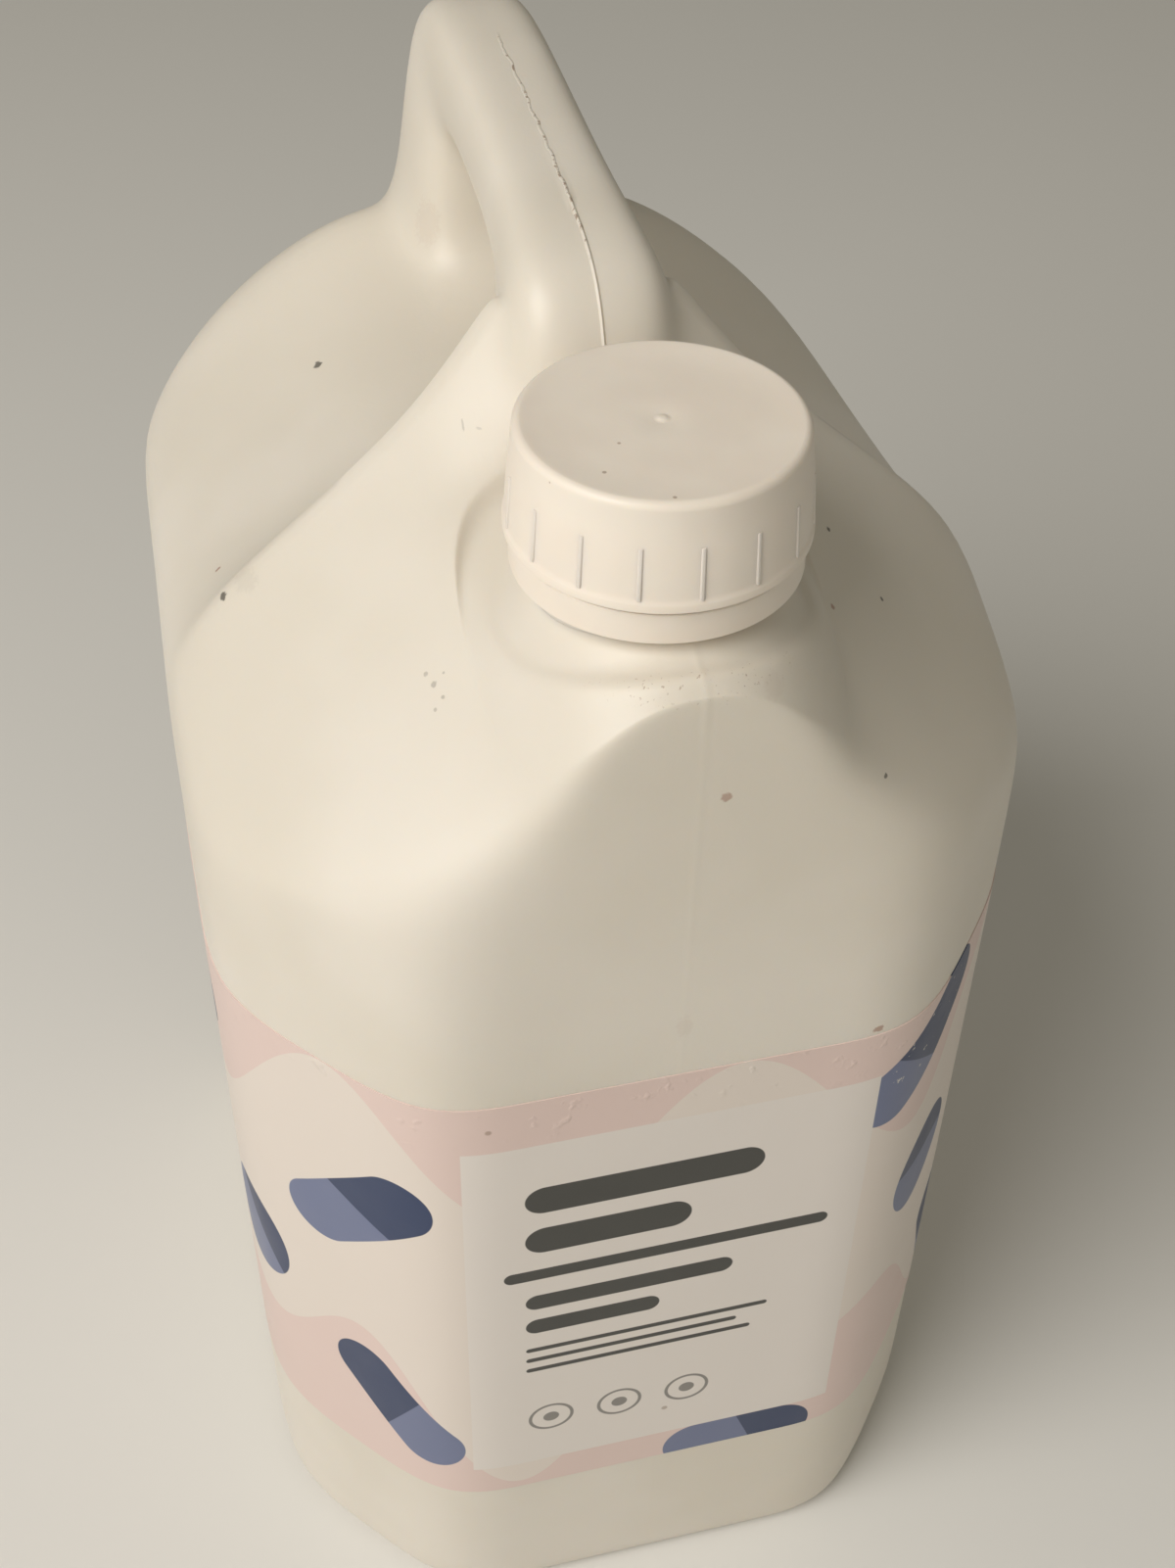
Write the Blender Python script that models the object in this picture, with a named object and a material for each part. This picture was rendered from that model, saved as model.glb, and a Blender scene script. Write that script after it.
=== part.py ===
"""Five-litre jerrycan bottle with an integral handle, a screw cap and a printed band.

The bottle is one blow-moulded shell. Its outer skin is a coarse cage that a
subdivision surface rounds, so a wall, a crest or the handle moves with the few
sizes below. The neck, the cap, the tamper ring and the liner are turned.
+Z is up, -Y is the front, and the origin is under the middle of the pack.
"""
import math

import bmesh
import bpy
from mathutils import Vector

MM = 0.001

# Body walls, seen from above
BODY_WIDTH = 148 * MM
BODY_DEPTH = 178 * MM
REAR_WIDTH = 144 * MM
FRONT_FLAT = 88 * MM
SPLAY_DEPTH = 35.5 * MM
REAR_FLAT = 98 * MM
REAR_CORNER = 19 * MM
WALL = 1.2 * MM
FOOT_ROUND = 9 * MM

# Shoulder
SHOULDER_HEIGHT = 218 * MM
SIDE_PITCH = 0.86
FORE_PITCH = 0.38
CREST_SETBACK = 43 * MM
CREST_LIFT = 2 * MM
RECESS_FRONT = 56 * MM
RECESS_INSET = 38 * MM
RECESS_DROP = 6 * MM
RECESS_RISE = 20 * MM
REAR_RIDGE_INSET = 17 * MM
REAR_RIDGE_RISE = 31 * MM
REAR_RIDGE_FALL = 0.42
REAR_DROP = 14 * MM
SHOULDER_ROUND = 16 * MM
MIDDLE_SHARE = 0.68

# Handle
HANDLE_RISE = 72 * MM
HANDLE_FALL = 4 * MM
HANDLE_WIDTH = 21 * MM
HANDLE_HEIGHT = 18 * MM
HANDLE_FRONT = 34 * MM
HANDLE_INSET = 8 * MM
LEG_WIDTH = 30 * MM

# Neck
NECK_SETBACK = 28 * MM
DISH_RISE = 34.6 * MM
DISH_RADIUS = 23 * MM
DISH_RIM = 2.4 * MM
NECK_RADIUS = 18.6 * MM
NECK_BORE = 31.4 * MM
NECK_LENGTH = 24.8 * MM
BEAD_RISE = 7 * MM
BEAD_RADIUS = 20.3 * MM
BEAD_DEPTH = 1.8 * MM

# Screw thread, the same helix on the neck and in the cap
THREAD_PITCH = 4 * MM
THREAD_ROOT = 2 * MM
THREAD_CREST = 0.9 * MM
THREAD_DEPTH = 1.2 * MM
CAP_THREAD_DEPTH = 1.8 * MM
THREAD_SUNK = 0.4 * MM
THREAD_RISE = 13.9 * MM
THREAD_TURNS = 1.5
CAP_THREAD_TURNS = 1.25
THREAD_STEPS = 32
THREAD_FADE = 3

# Cap, tamper ring and liner
CAP_RADIUS = 23.2 * MM
CAP_RISE = 10.6 * MM
CAP_WALL = 1.5 * MM
CAP_LID = 1.4 * MM
CAP_EDGE_ROUND = 2.6 * MM
CAP_DRAFT = 0.8 * MM
CAP_FLANGE = 2.2 * MM
RIB_COUNT = 16
RIB_DEPTH = 0.7 * MM
RIB_WIDTH = 1.3 * MM
RIB_LENGTH = 8.5 * MM
RIB_SLOPE = 0.6 * MM
RING_RADIUS = 22 * MM
RING_WALL = 1.2 * MM
RING_RISE = 4.6 * MM
RING_GAP = 0.9 * MM
STUB_COUNT = 12
STUB_WIDTH = 0.9 * MM
STUB_HEIGHT = 0.45 * MM
LINER_THICKNESS = 1.2 * MM
LIP_GAP = 0.2 * MM

# Label
LABEL_FOOT = 43 * MM
LABEL_TOP = 169 * MM
LABEL_THICKNESS = 0.2 * MM

# Fits and smoothness
CLEARANCE = 0.3 * MM
SMOOTHING = 2
FLAT_ANGLE = 1.0
ROUND_STEPS = 48

# Places that follow from the sizes above
NECK_Y = NECK_SETBACK - BODY_DEPTH / 2
REAR = BODY_DEPTH - NECK_SETBACK
RECESS_BACK = REAR - RECESS_INSET
RECESS_EDGE = SHOULDER_HEIGHT - RECESS_DROP
RECESS_FLOOR = SHOULDER_HEIGHT + RECESS_RISE
REAR_RIDGE_SETBACK = REAR - REAR_RIDGE_INSET
REAR_RIDGE_HEIGHT = SHOULDER_HEIGHT + REAR_RIDGE_RISE
HANDLE_TOP = SHOULDER_HEIGHT + HANDLE_RISE
HANDLE_BACK = REAR - HANDLE_INSET
DISH_HEIGHT = SHOULDER_HEIGHT + DISH_RISE
NECK_TOP = DISH_HEIGHT + NECK_LENGTH
BEAD_HEIGHT = DISH_HEIGHT + BEAD_RISE
THREAD_START = DISH_HEIGHT + THREAD_RISE
RING_FOOT = DISH_HEIGHT + RING_RISE
CAP_FOOT = DISH_HEIGHT + CAP_RISE
CAP_TOP = NECK_TOP + LIP_GAP + LINER_THICKNESS + CLEARANCE + CAP_LID
CAP_INNER = CAP_RADIUS - RIB_DEPTH - CAP_WALL

MATERIALS = {
    "bottle": ((0.80, 0.74, 0.64), 0.42),
    "cap": ((0.82, 0.75, 0.68), 0.38),
    "tamper_ring": ((0.82, 0.75, 0.68), 0.38),
    "liner": ((0.86, 0.85, 0.82), 0.80),
    "label": ((0.78, 0.66, 0.60), 0.55),
}


# Scene, materials and small helpers

def clear_scene():
    for item in list(bpy.data.objects):
        bpy.data.objects.remove(item, do_unlink=True)


def plain_material(name):
    colour, roughness = MATERIALS[name]
    material = bpy.data.materials.new(name)
    material.use_nodes = True
    shader = material.node_tree.nodes["Principled BSDF"]
    shader.inputs["Base Color"].default_value = (*colour, 1)
    shader.inputs["Roughness"].default_value = roughness
    shader.inputs["Metallic"].default_value = 0
    return material


def add_object(name, bm, material_name=None):
    mesh = bpy.data.meshes.new(name)
    bm.to_mesh(mesh)
    bm.free()
    item = bpy.data.objects.new(name, mesh)
    bpy.context.scene.collection.objects.link(item)
    if material_name:
        mesh.materials.append(plain_material(material_name))
    mesh.shade_smooth()
    mesh.set_sharp_from_angle(angle=math.radians(35))
    return item


def make_helper(item):
    item.hide_render = True
    item.display_type = 'WIRE'


def smooth_surface(item):
    rounding = item.modifiers.new("rounding", 'SUBSURF')
    rounding.levels = SMOOTHING
    rounding.render_levels = SMOOTHING


def even_turns(count):
    return [math.tau * step / count for step in range(count)]


def add_ring(bm, radius, height, turns):
    """A ring of points about the neck axis, one at each of the given angles."""
    return [bm.verts.new((radius * math.cos(turn), radius * math.sin(turn), height)) for turn in turns]


def turned(profile, turns):
    """Turn a closed outline of (radius, height) points, listed so that its skin faces outwards."""
    bm = bmesh.new()
    rings = [add_ring(bm, radius, height, turns) for radius, height in profile]
    for lower, upper in zip(rings, rings[1:] + rings[:1]):
        bridge(bm, lower, upper)
    return bm


def thread_bar(root, crest, start, turn_count):
    """A helical ridge with faded ends, as a closed solid that is joined to a wall."""
    bm = bmesh.new()
    count = round(THREAD_STEPS * turn_count)
    sections = []
    for step in range(count + 1):
        turn = math.tau * turn_count * step / count
        height = start + THREAD_PITCH * turn / math.tau
        share = min(1, (step + 0.3) / THREAD_FADE, (count - step + 0.3) / THREAD_FADE)
        tip = root + (crest - root) * share
        section = []
        for radius, lift in (
            (root, -THREAD_ROOT / 2),
            (tip, -THREAD_CREST / 2),
            (tip, THREAD_CREST / 2),
            (root, THREAD_ROOT / 2),
        ):
            section += add_ring(bm, radius, height + lift, [turn])
        sections.append(section)
    for near, far in zip(sections, sections[1:]):
        bridge(bm, near, far)
    bm.faces.new(sections[0])
    bm.faces.new(list(reversed(sections[-1])))
    bmesh.ops.recalc_face_normals(bm, faces=bm.faces)
    return bm


def join_helper(item, helper):
    """Join a helper solid to an item, and keep the helper out of the model."""
    make_helper(helper)
    join = item.modifiers.new(helper.name, 'BOOLEAN')
    join.operation = 'UNION'
    join.solver = 'EXACT'
    join.object = helper


# Plan of the walls, as control points of a smooth closed curve

def facet_height(x, setback):
    """Height of the sloping front shoulder at a distance behind the neck axis."""
    inward = SIDE_PITCH * (BODY_WIDTH / 2 - abs(x))
    return SHOULDER_HEIGHT + inward + FORE_PITCH * (setback - CREST_SETBACK)


def half_rows():
    """Right half of the shoulder, row by row from the front wall to the rear wall.

    Each row lists (x, distance behind the neck axis, height) from the middle out.
    None stands for a point that the neck or the handle takes over.
    """
    bar = HANDLE_WIDTH / 2
    leg = LEG_WIDTH / 2
    half = BODY_WIDTH / 2
    rear_half = REAR_WIDTH / 2
    front = -NECK_SETBACK
    flat = FRONT_FLAT / 2
    rear_flat = REAR_FLAT / 2
    mid = (half + flat) / 2
    dish = DISH_RADIUS + 5 * MM
    rim = DISH_HEIGHT + DISH_RIM
    behind_neck = NECK_SETBACK + 1 * MM
    floor_fall = (RECESS_FLOOR - RECESS_EDGE) / 2
    ridge_fall = (REAR_RIDGE_HEIGHT - RECESS_EDGE) * REAR_RIDGE_FALL
    rows = []
    rows.append([
        (0, front, rim - 3 * MM),
        (bar, front, rim - 5 * MM),
        (dish - 2 * MM, front, facet_height(dish - 2 * MM, front)),
        (flat, front, facet_height(flat, front)),
        (mid, front + SPLAY_DEPTH / 2, facet_height(mid, front + SPLAY_DEPTH / 2)),
    ])
    rows.append([
        None,
        None,
        (dish + 2 * MM, 0, facet_height(dish + 2 * MM, 0)),
        (half * MIDDLE_SHARE, 2 * MM, facet_height(half * MIDDLE_SHARE, 2 * MM)),
        (half, front + SPLAY_DEPTH, facet_height(half, front + SPLAY_DEPTH)),
    ])
    rows.append([
        (0, behind_neck, rim + 5 * MM),
        (bar, behind_neck, rim + 4 * MM),
        (dish, behind_neck, facet_height(dish, behind_neck)),
        (half * MIDDLE_SHARE, behind_neck + 1 * MM, facet_height(half * MIDDLE_SHARE, behind_neck + 1 * MM)),
        (half, behind_neck + 2 * MM, facet_height(half, behind_neck + 2 * MM)),
    ])
    rows.append([
        None,
        (bar, CREST_SETBACK + 3 * MM, facet_height(bar, CREST_SETBACK) + CREST_LIFT),
        (dish, CREST_SETBACK, facet_height(dish, CREST_SETBACK) + CREST_LIFT),
        (half * MIDDLE_SHARE, CREST_SETBACK, facet_height(half * MIDDLE_SHARE, CREST_SETBACK) + CREST_LIFT),
        (half, CREST_SETBACK, SHOULDER_HEIGHT),
    ])
    rows.append([
        (0, RECESS_FRONT, RECESS_FLOOR),
        (bar, RECESS_FRONT, RECESS_FLOOR),
        (dish, RECESS_FRONT, RECESS_FLOOR - 2 * MM),
        (half * MIDDLE_SHARE, RECESS_FRONT, RECESS_EDGE + floor_fall),
        (half, RECESS_FRONT, RECESS_EDGE + 1 * MM),
    ])
    rows.append([
        (0, RECESS_BACK, RECESS_FLOOR),
        (leg * 0.8, RECESS_BACK, RECESS_FLOOR),
        (dish, RECESS_BACK, RECESS_FLOOR - 1 * MM),
        (half * MIDDLE_SHARE, RECESS_BACK, RECESS_EDGE + floor_fall + 2 * MM),
        (rear_half, RECESS_BACK, RECESS_EDGE),
    ])
    rows.append([
        None,
        (leg + 2 * MM, REAR_RIDGE_SETBACK, REAR_RIDGE_HEIGHT + 2 * MM),
        (dish + 2 * MM, REAR_RIDGE_SETBACK, REAR_RIDGE_HEIGHT),
        (half * MIDDLE_SHARE, REAR_RIDGE_SETBACK, REAR_RIDGE_HEIGHT - ridge_fall),
        (rear_half, REAR - REAR_CORNER, RECESS_EDGE - 2 * MM),
    ])
    rows.append([
        (0, REAR, REAR_RIDGE_HEIGHT - REAR_DROP),
        (leg, REAR, REAR_RIDGE_HEIGHT - REAR_DROP - 1 * MM),
        (dish, REAR, REAR_RIDGE_HEIGHT - REAR_DROP - 3 * MM),
        (rear_flat, REAR, REAR_RIDGE_HEIGHT - ridge_fall - REAR_DROP * 0.7),
        ((rear_half + rear_flat) / 2, REAR - REAR_CORNER / 2, RECESS_EDGE - 2 * MM),
    ])
    return rows


def add_rows(bm):
    """Add both halves of the rows; columns run from left to right."""
    table = []
    for row in half_rows():
        line = []
        for point in reversed(row[1:]):
            line.append(mirror_vertex(bm, point))
        for point in row:
            line.append(plain_vertex(bm, point))
        table.append(line)
    return table


def plain_vertex(bm, point):
    if point is None:
        return None
    x, setback, height = point
    return bm.verts.new((x, NECK_Y + setback, height))


def mirror_vertex(bm, point):
    if point is None:
        return None
    x, setback, height = point
    return bm.verts.new((-x, NECK_Y + setback, height))


def add_shoulder_faces(bm, table):
    for near, far in zip(table, table[1:]):
        for column in range(len(near) - 1):
            corners = (near[column], near[column + 1], far[column + 1], far[column])
            if None not in corners:
                bm.faces.new(corners)


def middle(table, row, offset):
    return table[row][len(table[row]) // 2 + offset]


# Neck dish in the cage: rim, moat and the round opening under the neck

def add_neck_rings(bm, table):
    around = [middle(table, 0, offset) for offset in (0, 1, 2)]
    around.append(middle(table, 1, 2))
    around += [middle(table, 2, offset) for offset in (2, 1, 0, -1, -2)]
    around.append(middle(table, 1, -2))
    around += [middle(table, 0, offset) for offset in (-2, -1)]
    seat = (NECK_RADIUS + NECK_BORE / 2) / 2
    rings = [around]
    for radius, height in (
        (DISH_RADIUS + 3 * MM, DISH_HEIGHT + DISH_RIM),
        (DISH_RADIUS, DISH_HEIGHT),
        (seat + 0.8 * MM, DISH_HEIGHT),
    ):
        ring = []
        for step in range(len(around)):
            turn = math.tau * step / len(around)
            across = radius * math.sin(turn)
            along = -radius * math.cos(turn)
            ring.append(bm.verts.new((across, NECK_Y + along, height)))
        rings.append(ring)
    for outer, inner in zip(rings, rings[1:]):
        bridge(bm, outer, inner)


def bridge(bm, outer, inner):
    """Join two rings that run anticlockwise, the first outside the second."""
    count = len(outer)
    for step in range(count):
        after = (step + 1) % count
        bm.faces.new((outer[step], outer[after], inner[after], inner[step]))


# Handle in the cage: rings of eight points from the front root to the rear root

def handle_ring(bm, half_width, top, bottom):
    """One section of the bar: top and bottom are (distance behind neck, height)."""
    side = ((top[0] + bottom[0]) / 2, (top[1] + bottom[1]) / 2)
    corner = half_width * 0.9
    points = [
        (0, top),
        (corner, top),
        (half_width, side),
        (corner, bottom),
        (0, bottom),
        (-corner, bottom),
        (-half_width, side),
        (-corner, top),
    ]
    return [bm.verts.new((x, NECK_Y + place[0], place[1])) for x, place in points]


def add_handle(bm, table):
    bar = HANDLE_WIDTH / 2
    leg = LEG_WIDTH / 2
    front_top = HANDLE_TOP - HANDLE_FALL
    deep = HANDLE_HEIGHT
    front_root = [middle(table, 2, 0), middle(table, 2, 1), middle(table, 3, 1), middle(table, 4, 1)]
    front_root += [middle(table, 4, 0), middle(table, 4, -1), middle(table, 3, -1), middle(table, 2, -1)]
    rear_root = [middle(table, 7, 0), middle(table, 7, 1), middle(table, 6, 1), middle(table, 5, 1)]
    rear_root += [middle(table, 5, 0), middle(table, 5, -1), middle(table, 6, -1), middle(table, 7, -1)]
    rings = [front_root]
    rings.append(handle_ring(
        bm, bar + 1 * MM,
        (HANDLE_FRONT, front_top - 2 * MM),
        (RECESS_FRONT + 2 * MM, front_top - deep - 3 * MM),
    ))
    rings.append(handle_ring(
        bm, bar,
        (RECESS_FRONT + 4 * MM, front_top + 0.5 * MM),
        (RECESS_FRONT + 10 * MM, front_top - deep + 0.5 * MM),
    ))
    rings.append(handle_ring(
        bm, bar,
        (RECESS_BACK - 2 * MM, HANDLE_TOP + 1 * MM),
        (RECESS_BACK - 10 * MM, HANDLE_TOP - deep),
    ))
    rings.append(handle_ring(
        bm, bar + 0.5 * MM,
        (HANDLE_BACK, HANDLE_TOP),
        (RECESS_BACK + 6 * MM, HANDLE_TOP - deep - 4 * MM),
    ))
    rings.append(handle_ring(
        bm, leg - 1 * MM,
        (HANDLE_BACK + 4 * MM, (HANDLE_TOP + REAR_RIDGE_HEIGHT) / 2 - 8 * MM),
        (RECESS_BACK + 3 * MM, (HANDLE_TOP + REAR_RIDGE_HEIGHT) / 2 - 14 * MM),
    ))
    rings.append(rear_root)
    for outer, inner in zip(rings, rings[1:]):
        bridge(bm, outer, inner)


# Walls and base in the cage

def outline(table):
    """The shoulder's border, anticlockwise seen from above, from the front left."""
    border = list(table[0])
    border += [row[-1] for row in table[1:]]
    border += list(reversed(table[-1][:-1]))
    border += [row[0] for row in reversed(table[1:-1])]
    return border


def inset_point(vertex, inset, height):
    """Move a border point towards the pack's middle by an even inset."""
    half_x = BODY_WIDTH / 2
    half_y = BODY_DEPTH / 2
    x = vertex.co.x * (1 - inset / half_x)
    y = vertex.co.y * (1 - inset / half_y)
    return (x, y, height)


def add_walls(bm, table):
    border = outline(table)
    brow = [bm.verts.new((vertex.co.x, vertex.co.y, vertex.co.z - SHOULDER_ROUND)) for vertex in border]
    foot = [bm.verts.new((vertex.co.x, vertex.co.y, FOOT_ROUND)) for vertex in border]
    corner = [bm.verts.new((vertex.co.x, vertex.co.y, 0)) for vertex in border]
    sole = [bm.verts.new(inset_point(vertex, FOOT_ROUND, 0)) for vertex in border]
    for upper, lower in ((border, brow), (brow, foot), (foot, corner), (corner, sole)):
        bridge(bm, lower, upper)
    bm.faces.new(list(reversed(sole)))


def build_skin():
    bm = bmesh.new()
    table = add_rows(bm)
    add_shoulder_faces(bm, table)
    add_neck_rings(bm, table)
    add_handle(bm, table)
    add_walls(bm, table)
    bm.normal_update()
    return bm


# Turned pieces

def build_neck():
    """The neck tube: bore, lip, thread wall and the bead that holds the ring."""
    bore = NECK_BORE / 2
    low = DISH_HEIGHT - WALL
    lip_round = 0.6 * MM
    profile = [
        (NECK_RADIUS, low),
        (NECK_RADIUS, BEAD_HEIGHT),
        (BEAD_RADIUS, BEAD_HEIGHT + 0.3 * MM),
        (BEAD_RADIUS, BEAD_HEIGHT + BEAD_DEPTH * 0.6),
        (NECK_RADIUS, BEAD_HEIGHT + BEAD_DEPTH),
        (NECK_RADIUS, NECK_TOP - lip_round),
        (NECK_RADIUS - lip_round, NECK_TOP),
        (bore, NECK_TOP),
        (bore, low),
    ]
    return turned(profile, even_turns(ROUND_STEPS))


def build_bottle():
    bottle = add_object("bottle", build_skin(), "bottle")
    neck = add_object("neck_tube", build_neck())
    neck.location = (0, NECK_Y, 0)
    ridge = thread_bar(NECK_RADIUS - THREAD_SUNK, NECK_RADIUS + THREAD_DEPTH, THREAD_START, THREAD_TURNS)
    thread = add_object("neck_thread", ridge)
    thread.location = (0, NECK_Y, 0)
    join_helper(neck, thread)
    smooth_surface(bottle)
    flats = bottle.modifiers.new("flats", 'DECIMATE')
    flats.decimate_type = 'DISSOLVE'
    flats.angle_limit = math.radians(FLAT_ANGLE)
    wall = bottle.modifiers.new("wall", 'SOLIDIFY')
    wall.thickness = WALL
    wall.offset = -1
    wall.use_even_offset = True
    join_helper(bottle, neck)
    return bottle


def rib_turns():
    """Angles round the cap, each with whether it lies on the crest of a rib."""
    pitch = math.tau / RIB_COUNT
    half = RIB_WIDTH / 2 / CAP_RADIUS
    flank = half + RIB_DEPTH / 3 / CAP_RADIUS
    turns = []
    for rib in range(RIB_COUNT):
        centre = pitch * rib
        turns.append((centre - flank, False))
        turns.append((centre - half, True))
        turns.append((centre + half, True))
        turns.append((centre + flank, False))
        turns.append((centre + pitch * 0.37, False))
        turns.append((centre + pitch * 0.63, False))
    return turns


def build_cap():
    """The screw cap: flat lid, rounded edge, drafted and ribbed skirt, and a flange at its foot."""
    bm = bmesh.new()
    turns = rib_turns()
    angles = [turn for turn, _ in turns]
    skirt_foot = CAP_RADIUS - RIB_DEPTH
    skirt_top = skirt_foot - CAP_DRAFT
    rib_foot = CAP_FOOT + CAP_FLANGE
    rib_top = rib_foot + RIB_LENGTH
    draft = CAP_DRAFT / (CAP_TOP - CAP_EDGE_ROUND - rib_foot)
    rings = [
        add_ring(bm, CAP_INNER, CAP_FOOT, angles),
        add_ring(bm, CAP_RADIUS, CAP_FOOT, angles),
        add_ring(bm, CAP_RADIUS, CAP_FOOT + CAP_FLANGE * 0.7, angles),
    ]
    for height, depth in (
        (rib_foot, 0),
        (rib_foot + RIB_SLOPE, RIB_DEPTH),
        (rib_top - RIB_SLOPE, RIB_DEPTH),
        (rib_top, 0),
    ):
        radius = skirt_foot - draft * (height - rib_foot)
        ring = []
        for turn, on_rib in turns:
            ring += add_ring(bm, radius + depth * on_rib, height, [turn])
        rings.append(ring)
    edge_steps = 5
    for step in range(edge_steps + 1):
        bend = math.pi / 2 * step / edge_steps
        radius = skirt_top - CAP_EDGE_ROUND * (1 - math.cos(bend))
        height = CAP_TOP - CAP_EDGE_ROUND * (1 - math.sin(bend))
        rings.append(add_ring(bm, radius, height, angles))
    for lower, upper in zip(rings, rings[1:]):
        bridge(bm, lower, upper)
    bm.faces.new(rings[-1])
    ceiling = add_ring(bm, CAP_INNER - CAP_DRAFT / 2, CAP_TOP - CAP_LID, angles)
    bridge(bm, ceiling, rings[0])
    bm.faces.new(list(reversed(ceiling)))
    cap = add_object("cap", bm, "cap")
    cap.location = (0, NECK_Y, 0)
    ridge = thread_bar(
        CAP_INNER + THREAD_SUNK,
        CAP_INNER - CAP_THREAD_DEPTH,
        THREAD_START - THREAD_PITCH / 2,
        CAP_THREAD_TURNS,
    )
    thread = add_object("cap_thread", ridge)
    thread.location = (0, NECK_Y, 0)
    join_helper(cap, thread)
    return cap


def build_ring():
    """The tamper ring: a thin band with an inner lip under the bead, and torn bridges on its top."""
    inner = RING_RADIUS - RING_WALL
    lip = NECK_RADIUS + 2 * CLEARANCE
    lip_top = BEAD_HEIGHT - CLEARANCE
    top = CAP_FOOT - RING_GAP
    pitch = math.tau / STUB_COUNT
    half = STUB_WIDTH / 2 / RING_RADIUS
    turns = []
    for stub in range(STUB_COUNT):
        turns += [pitch * stub - half, pitch * stub + half]
        turns += [pitch * (stub + share) for share in (0.25, 0.5, 0.75)]
    bm = turned([
        (lip, RING_FOOT),
        (RING_RADIUS, RING_FOOT),
        (RING_RADIUS, top),
        (inner, top),
        (inner, lip_top),
        (lip, lip_top - 0.6 * MM),
    ], turns)
    bm.faces.ensure_lookup_table()
    stubs = [bm.faces[2 * len(turns) + 5 * stub] for stub in range(STUB_COUNT)]
    raised = bmesh.ops.extrude_discrete_faces(bm, faces=stubs)["faces"]
    for face in raised:
        bmesh.ops.translate(bm, vec=(0, 0, STUB_HEIGHT), verts=face.verts)
    ring = add_object("tamper_ring", bm, "tamper_ring")
    ring.location = (0, NECK_Y, 0)
    return ring


def build_liner():
    """The foam disc that the lid presses on the neck's lip."""
    bm = bmesh.new()
    radius = CAP_INNER - CAP_DRAFT / 2 - CLEARANCE
    low = NECK_TOP + LIP_GAP
    under = add_ring(bm, radius, low, even_turns(ROUND_STEPS))
    over = add_ring(bm, radius, low + LINER_THICKNESS, even_turns(ROUND_STEPS))
    bridge(bm, under, over)
    bm.faces.new(list(reversed(under)))
    bm.faces.new(over)
    liner = add_object("liner", bm, "liner")
    liner.location = (0, NECK_Y, 0)
    return liner


# Label

def build_label():
    """A thin band round the walls, a clearance away from them."""
    bm = bmesh.new()
    rows = [[point for point in row if point] for row in half_rows()]
    right = rows[0][1:] + [row[-1] for row in rows[1:-1]] + list(reversed(rows[-1][1:]))
    places = [rows[0][0]] + right + [rows[-1][0]]
    places += [(-x, setback, height) for x, setback, height in reversed(right)]
    spread = LABEL_THICKNESS + CLEARANCE
    rings = []
    for height in (LABEL_FOOT, LABEL_TOP):
        ring = []
        for spot in spread_plan(places, spread):
            ring.append(bm.verts.new((spot.x, spot.y, height)))
        rings.append(ring)
    bridge(bm, rings[0], rings[1])
    label = add_object("label", bm, "label")
    smooth_surface(label)
    paper = label.modifiers.new("paper", 'SOLIDIFY')
    paper.thickness = LABEL_THICKNESS
    paper.offset = -1
    paper.use_even_offset = True
    return label


def spread_plan(places, spread):
    """Offset a closed plan outwards by an even amount."""
    spots = [Vector((x, NECK_Y + setback)) for x, setback, height in places]
    count = len(spots)
    moved = []
    for index, spot in enumerate(spots):
        before = (spot - spots[index - 1]).normalized()
        after = (spots[(index + 1) % count] - spot).normalized()
        along = (before + after).normalized()
        outward = Vector((along.y, -along.x))
        lean = max(0.5, outward.dot(Vector((before.y, -before.x))))
        moved.append(spot + outward * spread / lean)
    return moved


def build_all():
    clear_scene()
    build_bottle()
    build_cap()
    build_ring()
    build_liner()
    build_label()


build_all()
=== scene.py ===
# %% [markdown]
# # A five-litre canister for body wash
#
# The real pack is a blow-moulded polyethylene canister: one hollow shell with its handle and neck,
# a ribbed screw cap, a tamper ring and a printed film label wrapped round its walls.
# The CAD model gives the sizes and the bodies that move. This script dresses it with finer
# surfaces and finishes. First it loads that frame. The dressed model has to stay inside it.

# %% Load the frame
import math

import bmesh
import bpy
from mathutils import Matrix, Vector
from mathutils.bvhtree import BVHTree


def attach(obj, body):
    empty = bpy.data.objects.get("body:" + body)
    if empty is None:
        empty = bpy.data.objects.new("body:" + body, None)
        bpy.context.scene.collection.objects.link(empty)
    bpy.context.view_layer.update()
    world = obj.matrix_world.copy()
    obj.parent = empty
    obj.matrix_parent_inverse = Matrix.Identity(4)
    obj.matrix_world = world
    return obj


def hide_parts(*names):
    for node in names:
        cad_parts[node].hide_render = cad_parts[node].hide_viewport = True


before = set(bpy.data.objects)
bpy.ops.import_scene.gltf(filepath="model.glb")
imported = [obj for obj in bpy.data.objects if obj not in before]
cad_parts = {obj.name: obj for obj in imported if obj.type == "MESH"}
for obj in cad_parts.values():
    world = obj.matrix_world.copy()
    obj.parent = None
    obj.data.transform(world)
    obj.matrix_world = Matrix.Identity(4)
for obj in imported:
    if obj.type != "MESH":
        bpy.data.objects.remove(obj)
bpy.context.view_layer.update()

# %% [markdown]
# ## Named sizes
#
# Every length has a name and stands in metres, so a wall or a rib can be moved by one value.
# They are the same sizes as in the CAD source, so the dressed pieces fit the solids. The last two
# blocks hold what only this scene uses, and the camera.

# %% Sizes
MM = 0.001

# Body walls, seen from above
BODY_WIDTH = 148 * MM
BODY_DEPTH = 178 * MM
REAR_WIDTH = 144 * MM
FRONT_FLAT = 88 * MM
SPLAY_DEPTH = 35.5 * MM
REAR_FLAT = 98 * MM
REAR_CORNER = 19 * MM
WALL = 1.2 * MM
FOOT_ROUND = 9 * MM

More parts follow.
